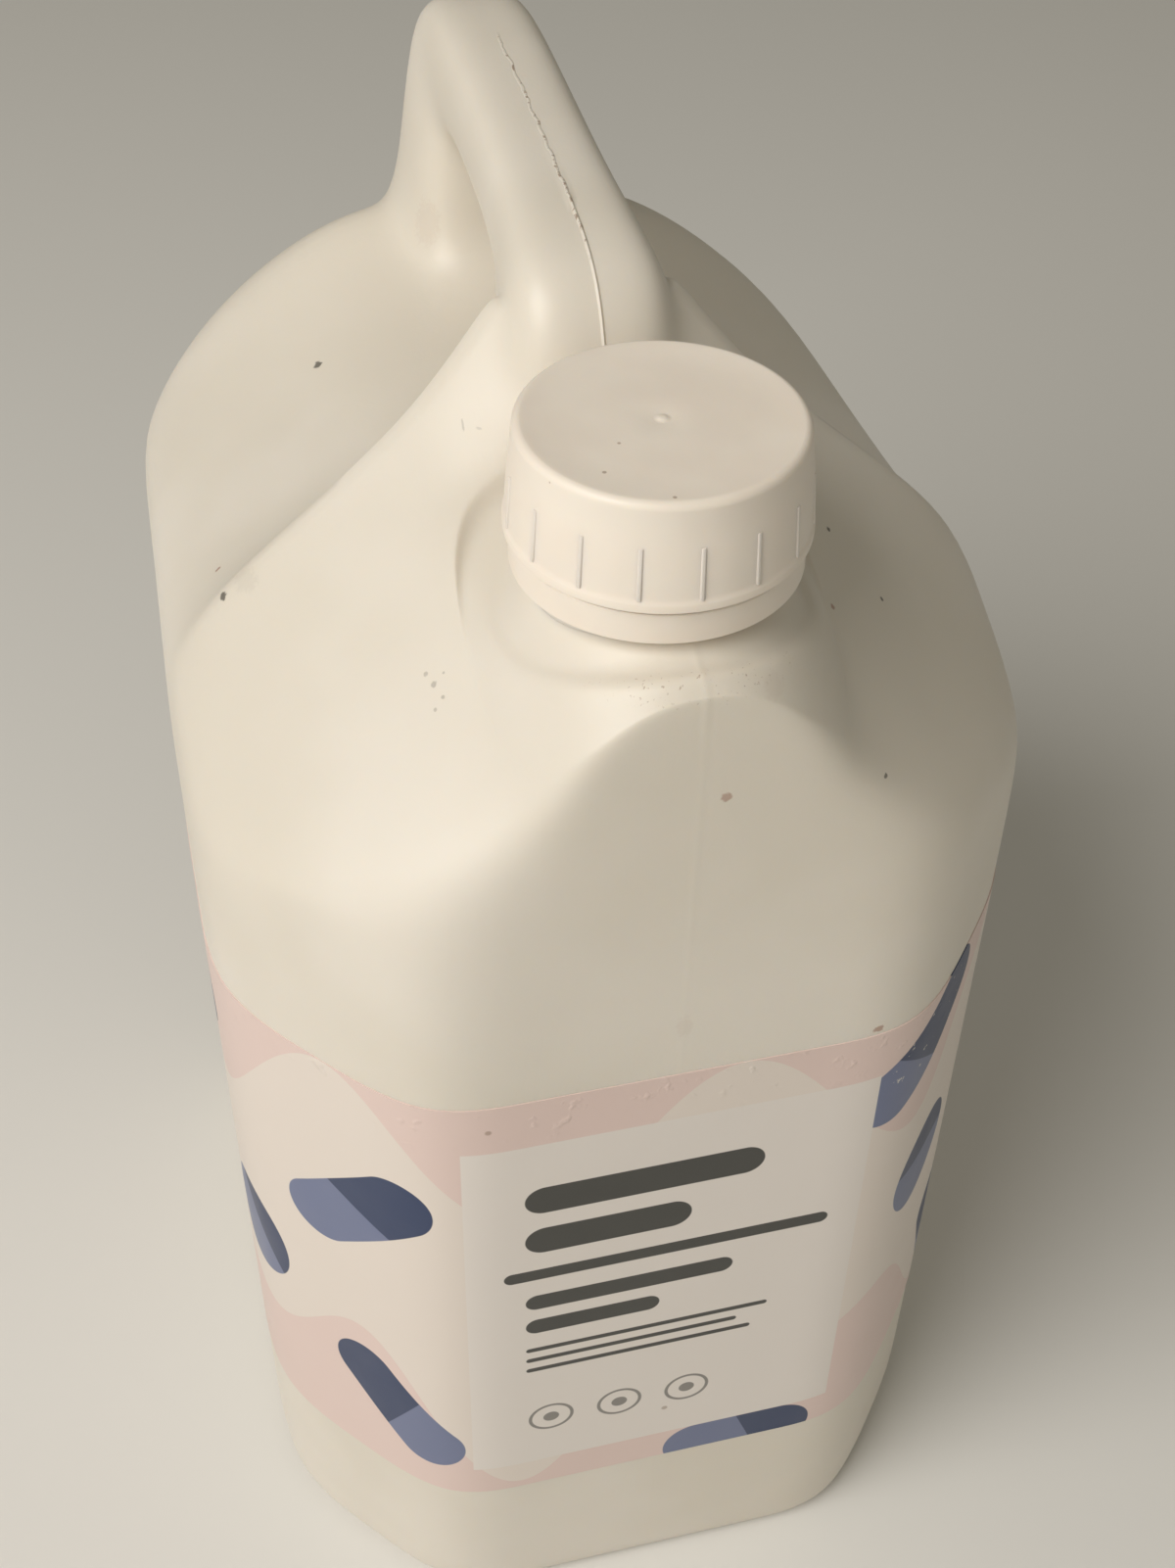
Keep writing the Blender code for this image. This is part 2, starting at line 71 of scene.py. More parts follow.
# Shoulder
SHOULDER_HEIGHT = 218 * MM
SIDE_PITCH = 0.86
FORE_PITCH = 0.38
CREST_SETBACK = 43 * MM
CREST_LIFT = 2 * MM
RECESS_FRONT = 56 * MM
RECESS_INSET = 38 * MM
RECESS_DROP = 6 * MM
RECESS_RISE = 20 * MM
REAR_RIDGE_INSET = 17 * MM
REAR_RIDGE_RISE = 31 * MM
REAR_RIDGE_FALL = 0.42
REAR_DROP = 14 * MM
SHOULDER_ROUND = 16 * MM
MIDDLE_SHARE = 0.68

# Handle
HANDLE_RISE = 72 * MM
HANDLE_FALL = 4 * MM
HANDLE_WIDTH = 21 * MM
HANDLE_HEIGHT = 18 * MM
HANDLE_FRONT = 34 * MM
HANDLE_INSET = 8 * MM
LEG_WIDTH = 30 * MM

# Neck
NECK_SETBACK = 28 * MM
DISH_RISE = 34.6 * MM
DISH_RADIUS = 23 * MM
DISH_RIM = 2.4 * MM
NECK_RADIUS = 18.6 * MM
NECK_BORE = 31.4 * MM
NECK_LENGTH = 24.8 * MM
BEAD_RISE = 7 * MM
BEAD_RADIUS = 20.3 * MM
BEAD_DEPTH = 1.8 * MM

# Screw thread, the same helix on the neck and in the cap
THREAD_PITCH = 4 * MM
THREAD_ROOT = 2 * MM
THREAD_CREST = 0.9 * MM
THREAD_DEPTH = 1.2 * MM
CAP_THREAD_DEPTH = 1.8 * MM
THREAD_SUNK = 0.4 * MM
THREAD_RISE = 13.9 * MM
THREAD_TURNS = 1.5
CAP_THREAD_TURNS = 1.25

# Cap, tamper ring and liner
CAP_RADIUS = 23.2 * MM
CAP_RISE = 10.6 * MM
CAP_WALL = 1.5 * MM
CAP_LID = 1.4 * MM
CAP_EDGE_ROUND = 2.6 * MM
CAP_DRAFT = 0.8 * MM
CAP_FLANGE = 2.2 * MM
RIB_COUNT = 16
RIB_DEPTH = 0.7 * MM
RIB_WIDTH = 1.3 * MM
RIB_LENGTH = 8.5 * MM
RING_RADIUS = 22 * MM
RING_WALL = 1.2 * MM
RING_RISE = 4.6 * MM
RING_GAP = 0.9 * MM
STUB_COUNT = 12
STUB_WIDTH = 0.9 * MM
STUB_HEIGHT = 0.45 * MM
LINER_THICKNESS = 1.2 * MM
LIP_GAP = 0.2 * MM

# Label
LABEL_FOOT = 43 * MM
LABEL_TOP = 169 * MM

# Fits
CLEARANCE = 0.3 * MM

# Places that follow from the sizes above
NECK_Y = NECK_SETBACK - BODY_DEPTH / 2
REAR = BODY_DEPTH - NECK_SETBACK
RECESS_BACK = REAR - RECESS_INSET
RECESS_EDGE = SHOULDER_HEIGHT - RECESS_DROP
RECESS_FLOOR = SHOULDER_HEIGHT + RECESS_RISE
REAR_RIDGE_SETBACK = REAR - REAR_RIDGE_INSET
REAR_RIDGE_HEIGHT = SHOULDER_HEIGHT + REAR_RIDGE_RISE
HANDLE_TOP = SHOULDER_HEIGHT + HANDLE_RISE
HANDLE_BACK = REAR - HANDLE_INSET
DISH_HEIGHT = SHOULDER_HEIGHT + DISH_RISE
NECK_TOP = DISH_HEIGHT + NECK_LENGTH
BEAD_HEIGHT = DISH_HEIGHT + BEAD_RISE
THREAD_START = DISH_HEIGHT + THREAD_RISE
RING_FOOT = DISH_HEIGHT + RING_RISE
CAP_FOOT = DISH_HEIGHT + CAP_RISE
CAP_TOP = NECK_TOP + LIP_GAP + LINER_THICKNESS + CLEARANCE + CAP_LID
CAP_INNER = CAP_RADIUS - RIB_DEPTH - CAP_WALL

# Only in this scene: the skin, the film, the dish beside the neck and the cap's finer form
SKIN_SMOOTHING = 3
TURN_STEPS = 128
THREAD_STEPS = 64
THREAD_FADE = 6
SHARP_ANGLE = 35
SEAM_HALF = 0.35 * MM
FILM_PROUD = 0.16 * MM
FILM_DEPTH = 0.3 * MM
SIDE_HOLLOW = 10 * MM
DISH_SEAT = (NECK_RADIUS + NECK_BORE / 2) / 2
FLANGE_INSET = 0.35 * MM
LID_EDGE = CAP_EDGE_ROUND * 0.5
RIB_PROUD = RIB_DEPTH * 0.4

# The camera, fitted to the photo
CAMERA_LENS = 47.22
CAMERA_SENSOR = 36
CAMERA_PLACE = Vector((-72.45, -296.53, 439.65)) * MM
CAMERA_FORWARD = Vector((0.1879, 0.70632, -0.6825)).normalized()
CAMERA_UP = Vector((0.15497, 0.66485, 0.73072))
print("pack:", round(BODY_WIDTH / MM), "x", round(BODY_DEPTH / MM), "x", round(HANDLE_TOP / MM), "mm")

# %% [markdown]
# ## The cage of the shoulder
#
# Blow moulding gives soft crests and hollows with no sharp edge. A subdivision surface makes such
# forms from a few control points, so the shoulder is a grid of rows from the front wall to the
# rear wall. Sculpting or a dense mesh could make it too, but then no size would drive it.

# %% Shoulder rows
def facet_height(x, setback):
    """Height of the sloping front shoulder at a distance behind the neck axis."""
    inward = SIDE_PITCH * (BODY_WIDTH / 2 - abs(x))
    return SHOULDER_HEIGHT + inward + FORE_PITCH * (setback - CREST_SETBACK)


def half_rows():
    """Right half of the shoulder, row by row from the front wall to the rear wall.

    Each row lists (x, distance behind the neck axis, height) from the middle out.
    None stands for a point that the neck or the handle takes over.
    """
    bar = HANDLE_WIDTH / 2
    leg = LEG_WIDTH / 2
    half = BODY_WIDTH / 2
    rear_half = REAR_WIDTH / 2
    front = -NECK_SETBACK
    flat = FRONT_FLAT / 2
    rear_flat = REAR_FLAT / 2
    mid = (half + flat) / 2
    dish = DISH_RADIUS + 5 * MM
    rim = DISH_HEIGHT + DISH_RIM
    behind_neck = NECK_SETBACK + 1 * MM
    floor_fall = (RECESS_FLOOR - RECESS_EDGE) / 2
    ridge_fall = (REAR_RIDGE_HEIGHT - RECESS_EDGE) * REAR_RIDGE_FALL
    rows = []
    rows.append([
        (0, front, rim - 3 * MM),
        (bar, front, rim - 5 * MM),
        (dish - 2 * MM, front, facet_height(dish - 2 * MM, front)),
        (flat, front, facet_height(flat, front)),
        (mid, front + SPLAY_DEPTH / 2, facet_height(mid, front + SPLAY_DEPTH / 2)),
    ])
    rows.append([
        None,
        None,
        (dish + 2 * MM, 0, facet_height(dish + 2 * MM, 0)),
        (half * MIDDLE_SHARE, 2 * MM, facet_height(half * MIDDLE_SHARE, 2 * MM)),
        (half, front + SPLAY_DEPTH, facet_height(half, front + SPLAY_DEPTH)),
    ])
    rows.append([
        (0, behind_neck, rim + 5 * MM),
        (bar, behind_neck, rim + 4 * MM),
        (dish, behind_neck, facet_height(dish, behind_neck)),
        (half * MIDDLE_SHARE, behind_neck + 1 * MM, facet_height(half * MIDDLE_SHARE, behind_neck + 1 * MM)),
        (half, behind_neck + 2 * MM, facet_height(half, behind_neck + 2 * MM)),
    ])
    rows.append([
        None,
        (bar, CREST_SETBACK + 3 * MM, facet_height(bar, CREST_SETBACK) + CREST_LIFT),
        (dish, CREST_SETBACK, facet_height(dish, CREST_SETBACK) + CREST_LIFT),
        (half * MIDDLE_SHARE, CREST_SETBACK, facet_height(half * MIDDLE_SHARE, CREST_SETBACK) + CREST_LIFT),
        (half, CREST_SETBACK, SHOULDER_HEIGHT),
    ])
    rows.append([
        (0, RECESS_FRONT, RECESS_FLOOR),
        (bar, RECESS_FRONT, RECESS_FLOOR),
        (dish, RECESS_FRONT, RECESS_FLOOR - 2 * MM),
        (half * MIDDLE_SHARE, RECESS_FRONT, RECESS_EDGE + floor_fall),
        (half, RECESS_FRONT, RECESS_EDGE + 1 * MM),
    ])
    rows.append([
        (0, RECESS_BACK, RECESS_FLOOR),
        (leg * 0.8, RECESS_BACK, RECESS_FLOOR),
        (dish, RECESS_BACK, RECESS_FLOOR - 1 * MM),
        (half * MIDDLE_SHARE, RECESS_BACK, RECESS_EDGE + floor_fall + 2 * MM),
        (rear_half, RECESS_BACK, RECESS_EDGE),
    ])
    rows.append([
        None,
        (leg + 2 * MM, REAR_RIDGE_SETBACK, REAR_RIDGE_HEIGHT + 2 * MM),
        (dish + 2 * MM, REAR_RIDGE_SETBACK, REAR_RIDGE_HEIGHT),
        (half * MIDDLE_SHARE, REAR_RIDGE_SETBACK, REAR_RIDGE_HEIGHT - ridge_fall),
        (rear_half, REAR - REAR_CORNER, RECESS_EDGE - 2 * MM),
    ])
    rows.append([
        (0, REAR, REAR_RIDGE_HEIGHT - REAR_DROP),
        (leg, REAR, REAR_RIDGE_HEIGHT - REAR_DROP - 1 * MM),
        (dish, REAR, REAR_RIDGE_HEIGHT - REAR_DROP - 3 * MM),
        (rear_flat, REAR, REAR_RIDGE_HEIGHT - ridge_fall - REAR_DROP * 0.7),
        ((rear_half + rear_flat) / 2, REAR - REAR_CORNER / 2, RECESS_EDGE - 2 * MM),
    ])
    return rows


# %% Rows as points
def plain_vertex(bm, point):
    if point is None:
        return None
    x, setback, height = point
    return bm.verts.new((x, NECK_Y + setback, height))


def mirror_vertex(bm, point):
    if point is None:
        return None
    x, setback, height = point
    return bm.verts.new((-x, NECK_Y + setback, height))


def add_rows(bm):
    """Add both halves of the rows; columns run from left to right."""
    table = []
    for row in half_rows():
        line = []
        for point in reversed(row[1:]):
            line.append(mirror_vertex(bm, point))
        for point in row:
            line.append(plain_vertex(bm, point))
        table.append(line)
    return table


def add_shoulder_faces(bm, table):
    for near, far in zip(table, table[1:]):
        for column in range(len(near) - 1):
            corners = (near[column], near[column + 1], far[column + 1], far[column])
            if None not in corners:
                bm.faces.new(corners)


def middle(table, row, offset):
    return table[row][len(table[row]) // 2 + offset]


def bridge(bm, outer, inner):
    """Join two rings that run anticlockwise, the first outside the second."""
    count = len(outer)
    for step in range(count):
        after = (step + 1) % count
        bm.faces.new((outer[step], outer[after], inner[after], inner[step]))


print("shoulder rows:", len(half_rows()))

# %% [markdown]
# ## Neck dish and handle
#
# The neck stands in a shallow dish, and the hollow handle grows out of the shoulder behind it.
# Both are rings of control points that are bridged to the grid, so that one skin runs through
# shoulder, dish and handle without a seam, as it does on the real moulding. Left and right of
# the neck the dish is hollowed deeper. Its wall stands steep only where the facets stand above it.

# %% Neck dish
# The dish's floor from its edge to the neck: radius, height and share of the hollow at the sides.
DISH_RINGS = (
    (DISH_RADIUS + 3.6 * MM, DISH_HEIGHT + DISH_RIM, 1.0),
    (DISH_RADIUS + 1 * MM, DISH_HEIGHT + 1.5 * MM, 0.9),
    (DISH_RADIUS - 2 * MM, DISH_HEIGHT + 3.6 * MM, 0.6),
    (DISH_SEAT + 0.8 * MM, DISH_HEIGHT + 4.2 * MM, 0.3),
)
# Two rings of its wall: share of the way inwards, and share of the fall that is done there.
DISH_WALL = ((0.36, 0.95), (0.14, 0.0))


def add_neck_rings(bm, table):
    around = [middle(table, 0, offset) for offset in (0, 1, 2)]
    around.append(middle(table, 1, 2))
    around += [middle(table, 2, offset) for offset in (2, 1, 0, -1, -2)]
    around.append(middle(table, 1, -2))
    around += [middle(table, 0, offset) for offset in (-2, -1)]
    rings = [around]
    for radius, height, share in DISH_RINGS:
        ring = []
        for step in range(len(around)):
            turn = math.tau * step / len(around)
            across = radius * math.sin(turn)
            along = -radius * math.cos(turn)
            hollow = SIDE_HOLLOW * share * math.sin(turn) ** 2
            ring.append(bm.verts.new((across, NECK_Y + along, height - hollow)))
        rings.append(ring)
    first = rings[1]
    for share, drop in DISH_WALL:
        wall = []
        for wide, near in zip(around, first):
            x, y, z = wide.co.lerp(near.co, share)
            if wide.co.z > near.co.z:
                z = wide.co.z + (near.co.z - wide.co.z) * drop
            wall.append(bm.verts.new((x, y, z)))
        rings.insert(1, wall)
    for outer, inner in zip(rings, rings[1:]):
        bridge(bm, outer, inner)


# %% Handle
def handle_ring(bm, half_width, top, bottom):
    """One section of the bar: top and bottom are (distance behind neck, height)."""
    side = ((top[0] + bottom[0]) / 2, (top[1] + bottom[1]) / 2)
    corner = half_width * 0.9
    points = [
        (0, top),
        (corner, top),
        (half_width, side),
        (corner, bottom),
        (0, bottom),
        (-corner, bottom),
        (-half_width, side),
        (-corner, top),
    ]
    return [bm.verts.new((x, NECK_Y + place[0], place[1])) for x, place in points]


def add_handle(bm, table):
    bar = HANDLE_WIDTH / 2
    leg = LEG_WIDTH / 2
    front_top = HANDLE_TOP - HANDLE_FALL
    deep = HANDLE_HEIGHT
    front_root = [middle(table, 2, 0), middle(table, 2, 1), middle(table, 3, 1), middle(table, 4, 1)]
    front_root += [middle(table, 4, 0), middle(table, 4, -1), middle(table, 3, -1), middle(table, 2, -1)]
    rear_root = [middle(table, 7, 0), middle(table, 7, 1), middle(table, 6, 1), middle(table, 5, 1)]
    rear_root += [middle(table, 5, 0), middle(table, 5, -1), middle(table, 6, -1), middle(table, 7, -1)]
    rings = [front_root]
    rings.append(handle_ring(
        bm, bar + 3.5 * MM,
        (HANDLE_FRONT, front_top - 2 * MM),
        (RECESS_FRONT + 2 * MM, front_top - deep - 3 * MM),
    ))
    rings.append(handle_ring(
        bm, bar,
        (RECESS_FRONT + 4 * MM, front_top + 0.5 * MM),
        (RECESS_FRONT + 10 * MM, front_top - deep + 0.5 * MM),
    ))
    rings.append(handle_ring(
        bm, bar,
        (RECESS_BACK - 2 * MM, HANDLE_TOP + 1 * MM),
        (RECESS_BACK - 10 * MM, HANDLE_TOP - deep),
    ))
    rings.append(handle_ring(
        bm, bar + 0.5 * MM,
        (HANDLE_BACK, HANDLE_TOP),
        (RECESS_BACK + 6 * MM, HANDLE_TOP - deep - 4 * MM),
    ))
    rings.append(handle_ring(
        bm, leg - 1 * MM,
        (HANDLE_BACK + 4 * MM, (HANDLE_TOP + REAR_RIDGE_HEIGHT) / 2 - 8 * MM),
        (RECESS_BACK + 3 * MM, (HANDLE_TOP + REAR_RIDGE_HEIGHT) / 2 - 14 * MM),
    ))
    rings.append(rear_root)
    for outer, inner in zip(rings, rings[1:]):
        bridge(bm, outer, inner)


# %% Walls and base
def outline(table):
    """The shoulder's border, anticlockwise seen from above, from the front left."""
    border = list(table[0])
    border += [row[-1] for row in table[1:]]
    border += list(reversed(table[-1][:-1]))
    border += [row[0] for row in reversed(table[1:-1])]
    return border


def inset_point(vertex, inset, height):
    """Move a border point towards the pack's middle by an even inset."""
    half_x = BODY_WIDTH / 2
    half_y = BODY_DEPTH / 2
    x = vertex.co.x * (1 - inset / half_x)
    y = vertex.co.y * (1 - inset / half_y)
    return (x, y, height)


def add_walls(bm, table):
    border = outline(table)
    brow = [bm.verts.new((vertex.co.x, vertex.co.y, vertex.co.z - SHOULDER_ROUND)) for vertex in border]
    foot = [bm.verts.new((vertex.co.x, vertex.co.y, FOOT_ROUND)) for vertex in border]
    corner = [bm.verts.new((vertex.co.x, vertex.co.y, 0)) for vertex in border]
    sole = [bm.verts.new(inset_point(vertex, FOOT_ROUND, 0)) for vertex in border]
    for upper, lower in ((border, brow), (brow, foot), (foot, corner), (corner, sole)):
        bridge(bm, lower, upper)
    bm.faces.new(list(reversed(sole)))


def build_skin():
    bm = bmesh.new()
    table = add_rows(bm)
    add_shoulder_faces(bm, table)
    add_neck_rings(bm, table)
    add_handle(bm, table)
    add_walls(bm, table)
    crease_crests(bm, table)
    bm.normal_update()
    return bm


# %% [markdown]
# ## Creased crests
#
# The crest in front of the hand recess and the ridge behind it keep a soft edge. Their edges in
# the cage are creased, which draws the smooth skin closer to them. The crest's inner ends are
# lifted, so that the handle's front root flares out of it.

# %% Crest creases
CREST_SHARPNESS = 0.47
RIDGE_SHARPNESS = 0.25
ROOT_FLARE = 4.5 * MM
ROOT_LIFT = 4.5 * MM


def crease_crests(bm, table):
    """Keep the crest in front of the hand recess, and the ridge behind it, from rounding away.

    The crest's inner ends are lifted, so that the handle's front root flares into it.
    """
    layer = bm.edges.layers.float.new("crease_edge")
    for side in (-1, 1):
        root = middle(table, 3, side)
        root.co.x += side * ROOT_FLARE
        root.co.z += ROOT_LIFT
        for edge in root.link_edges:
            if edge.other_vert(root).co.z > HANDLE_TOP - HANDLE_HEIGHT:
                edge[layer] = CREST_SHARPNESS
    for row, sharpness in ((table[3], CREST_SHARPNESS), (table[6], RIDGE_SHARPNESS)):
        for near, far in zip(row, row[1:]):
            edge = bm.edges.get((near, far)) if near and far else None
            if edge:
                edge[layer] = sharpness
    print("creased edges:", sum(1 for edge in bm.edges if edge[layer] > 0))


# %% [markdown]
# ## The skin with its parting line
#
# The two halves of the mould meet on the middle plane and leave a thin flash. It is real
# geometry here: the smooth skin is cut just left and right of the middle, and the middle line is
# raised. It stands highest behind the neck, where the photo shows a bright ridge, and is hardly
# there on the walls.

# %% Smooth skin
def finished_mesh(item):
    """The mesh that an object's modifiers make, as a plain mesh."""
    graph = bpy.context.evaluated_depsgraph_get()
    graph.update()
    return bpy.data.meshes.new_from_object(item.evaluated_get(graph))


def link_mesh(name, mesh):
    item = bpy.data.objects.new(name, mesh)
    bpy.context.scene.collection.objects.link(item)
    return item


def mesh_from(name, bm):
    mesh = bpy.data.meshes.new(name)
    bm.to_mesh(mesh)
    bm.free()
    return mesh


def smooth_skin():
    cage = link_mesh("cage", mesh_from("cage", build_skin()))
    rounding = cage.modifiers.new("rounding", "SUBSURF")
    rounding.levels = SKIN_SMOOTHING
    rounding.render_levels = SKIN_SMOOTHING
    mesh = finished_mesh(cage)
    bpy.data.objects.remove(cage, do_unlink=True)
    print("skin faces:", len(mesh.polygons))
    return mesh


# %% Parting line
def seam_height(place):
    """How far the flash stands proud at a place on the middle plane."""
    setback = place.y - NECK_Y
    if place.z < 12 * MM:
        return 0
    if place.z < DISH_HEIGHT - 6 * MM:
        return 0.02 * MM
    if setback < 0:
        return 0.05 * MM
    if setback < RECESS_FRONT:
        return 0.3 * MM
    if place.z > HANDLE_TOP - 2 * MM:
        return 0
    return 0.05 * MM


def raise_seam(bm):
    for side in (-SEAM_HALF, SEAM_HALF):
        parts = bm.verts[:] + bm.edges[:] + bm.faces[:]
        bmesh.ops.bisect_plane(bm, geom=parts, plane_co=(side, 0, 0), plane_no=(1, 0, 0), dist=1e-6)
    bm.normal_update()
    raised = [vertex for vertex in bm.verts if abs(vertex.co.x) < 1e-5]
    for vertex in raised:
        vertex.co += vertex.normal * seam_height(vertex.co)
    print("seam points:", len(raised))


# %% [markdown]
# ## Neck and thread
#
# The neck is injection-sharp compared with the shell, so it is turned from an outline instead of
# subdivided. The thread is a ridge swept along a helix with the same pitch as the cap's travel.

# %% Turning and threads
def even_turns(count):
    return [math.tau * step / count for step in range(count)]


def add_ring(bm, radius, height, turns):
    """A ring of points about the neck axis, one at each of the given angles."""
    return [bm.verts.new((radius * math.cos(turn), radius * math.sin(turn), height)) for turn in turns]


def turned(profile, turns):
    """Turn a closed outline of (radius, height) points, listed so that its skin faces outwards."""
    bm = bmesh.new()
    rings = [add_ring(bm, radius, height, turns) for radius, height in profile]
    for lower, upper in zip(rings, rings[1:] + rings[:1]):
        bridge(bm, lower, upper)
    return bm


def thread_bar(root, crest, start, turn_count):
    """A helical ridge with faded ends, as a closed solid that is joined to a wall."""
    bm = bmesh.new()
    count = round(THREAD_STEPS * turn_count)
    sections = []
    for step in range(count + 1):
        turn = math.tau * turn_count * step / count
        height = start + THREAD_PITCH * turn / math.tau
        share = min(1, (step + 0.3) / THREAD_FADE, (count - step + 0.3) / THREAD_FADE)
        tip = root + (crest - root) * share
        section = []
        for radius, lift in (
            (root, -THREAD_ROOT / 2),
            (tip, -THREAD_CREST / 2),
            (tip, THREAD_CREST / 2),
            (root, THREAD_ROOT / 2),
        ):
            section += add_ring(bm, radius, height + lift, [turn])
        sections.append(section)
    for near, far in zip(sections, sections[1:]):
        bridge(bm, near, far)
    bm.faces.new(sections[0])
    bm.faces.new(list(reversed(sections[-1])))
    bmesh.ops.recalc_face_normals(bm, faces=bm.faces)
    return bm


# %% Neck outline
def neck_outline():
    bore = NECK_BORE / 2
    low = DISH_HEIGHT - WALL
    return [
        (NECK_RADIUS, low), (NECK_RADIUS, BEAD_HEIGHT), (BEAD_RADIUS - 0.2 * MM, BEAD_HEIGHT + 0.1 * MM),
        (BEAD_RADIUS, BEAD_HEIGHT + 0.3 * MM), (BEAD_RADIUS, BEAD_HEIGHT + BEAD_DEPTH * 0.5),
        (NECK_RADIUS + 0.1 * MM, BEAD_HEIGHT + BEAD_DEPTH), (NECK_RADIUS, NECK_TOP - 0.7 * MM),
        (NECK_RADIUS - 0.2 * MM, NECK_TOP - 0.2 * MM), (NECK_RADIUS - 0.7 * MM, NECK_TOP),
        (bore, NECK_TOP), (bore, low),
    ]


# %% Shell
def shell_mesh():
    skin = bmesh.new()
    skin.from_mesh(smooth_skin())
    raise_seam(skin)
    shell = link_mesh("shell", mesh_from("shell", skin))
    wall = shell.modifiers.new("wall", "SOLIDIFY")
    wall.thickness = WALL
    wall.offset = -1
    wall.use_even_offset = True
    whole = bmesh.new()
    whole.from_mesh(finished_mesh(shell))
    bpy.data.objects.remove(shell, do_unlink=True)
    ridge = thread_bar(NECK_RADIUS - THREAD_SUNK, NECK_RADIUS + THREAD_DEPTH, THREAD_START, THREAD_TURNS)
    for piece in (turned(neck_outline(), even_turns(TURN_STEPS)), ridge):
        bmesh.ops.translate(piece, vec=(0, NECK_Y, 0), verts=piece.verts)
        whole.from_mesh(mesh_from("neck part", piece))
    return mesh_from("bottle_shell", whole)


shell = shell_mesh()
shell_corners = [vertex.co for vertex in shell.vertices]
shell_faces = [face.vertices for face in shell.polygons]
shell_surface = BVHTree.FromPolygons(shell_corners, shell_faces)


def seen_place(x, setback, height):
    """The point of the shell that the camera sees in the direction of a place given in mm."""
    aim = Vector((x * MM, NECK_Y + setback * MM, height * MM)) - CAMERA_PLACE
    return shell_surface.ray_cast(CAMERA_PLACE, aim)[0]


def finish_mesh(name, mesh, material):
    """A finished piece: smooth shading with kept edges, at the origin."""
    mesh.materials.clear()
    mesh.materials.append(material)
    mesh.shade_smooth()
    mesh.set_sharp_from_angle(angle=math.radians(SHARP_ANGLE))
    item = link_mesh(name, mesh)
    print(name, "triangles:", sum(len(face.vertices) - 2 for face in mesh.polygons))
    return item


# %% [markdown]
# ## Small tools for shader networks
#
# The finishes below are built from a handful of node kinds. These helpers place one node each and
# return its output, so a material reads almost like a formula.

# %% Node helpers
def feed(tree, socket, value):
    """Link an output to a socket, or set the socket's constant."""
    if isinstance(value, bpy.types.NodeSocket):
        tree.links.new(value, socket)
    else:
        socket.default_value = value


def feed_all(tree, sockets, values):
    for socket, value in zip(sockets, values):
        feed(tree, socket, value)


def calc(tree, operation, *values):
    node = tree.nodes.new("ShaderNodeMath")
    node.operation = operation
    feed_all(tree, node.inputs, values)
    return node.outputs[0]


def vector_calc(tree, operation, *values):
    node = tree.nodes.new("ShaderNodeVectorMath")
    node.operation = operation
    feed_all(tree, node.inputs, values)
    return node.outputs["Value" if operation == "LENGTH" else "Vector"]


def fade(tree, value, start, end):
    """1 up to start, 0 from end on, and smooth between."""
    node = tree.nodes.new("ShaderNodeMapRange")
    node.interpolation_type = "SMOOTHSTEP"
    feed_all(tree, node.inputs, (value, start, end, 1.0, 0.0))
    return node.outputs[0]


def remap(tree, value, low, high):
    """Spread a 0 to 1 value over a range."""
    return calc(tree, "MULTIPLY_ADD", value, high - low, low)


def noise(tree, place, scale, detail=2.0, roughness=0.5):
    node = tree.nodes.new("ShaderNodeTexNoise")
    feed(tree, node.inputs["Vector"], place)
    feed(tree, node.inputs["Scale"], scale)
    node.inputs["Detail"].default_value = detail
    node.inputs["Roughness"].default_value = roughness
    return node.outputs[0]


def blend(tree, mask, under, over):
    """Lay one colour over another where the mask is 1."""
    node = tree.nodes.new("ShaderNodeMix")
    node.data_type = "RGBA"
    feed_all(tree, (node.inputs[0], node.inputs[6], node.inputs[7]), (mask, under, over))
    return node.outputs[2]


def axes(tree, vector):
    node = tree.nodes.new("ShaderNodeSeparateXYZ")
    feed(tree, node.inputs[0], vector)
    return node.outputs[0], node.outputs[1], node.outputs[2]


def object_place(tree):
    return tree.nodes.new("ShaderNodeTexCoord").outputs["Object"]


# %% Groups
FLOAT = "NodeSocketFloat"
VECTOR = "NodeSocketVector"


def new_group(name, inputs, outputs):
    tree = bpy.data.node_groups.new(name, "ShaderNodeTree")
    for label, kind, value in inputs:
        socket = tree.interface.new_socket(name=label, in_out="INPUT", socket_type=kind)
        socket.default_value = value
    for label, kind in outputs:
        tree.interface.new_socket(name=label, in_out="OUTPUT", socket_type=kind)
    given = tree.nodes.new("NodeGroupInput").outputs
    result = tree.nodes.new("NodeGroupOutput").inputs
    return tree, given, result


def use(tree, group, values):
    """Place a group in a tree, set its inputs by name, and return its outputs."""
    node = tree.nodes.new("ShaderNodeGroup")
    node.node_tree = group
    for label, value in values.items():
        feed(tree, node.inputs[label], value)
    return node.outputs


# %% [markdown]
# ## Shared surface effects
#
# Moulded plastic is never quite even. A fine grain from the tool and a slow waviness from uneven
# cooling break up its shine. On top come dirt specks, smudges and dust in corners. Each effect is
# one node group with named inputs, and every material places it with its own values.

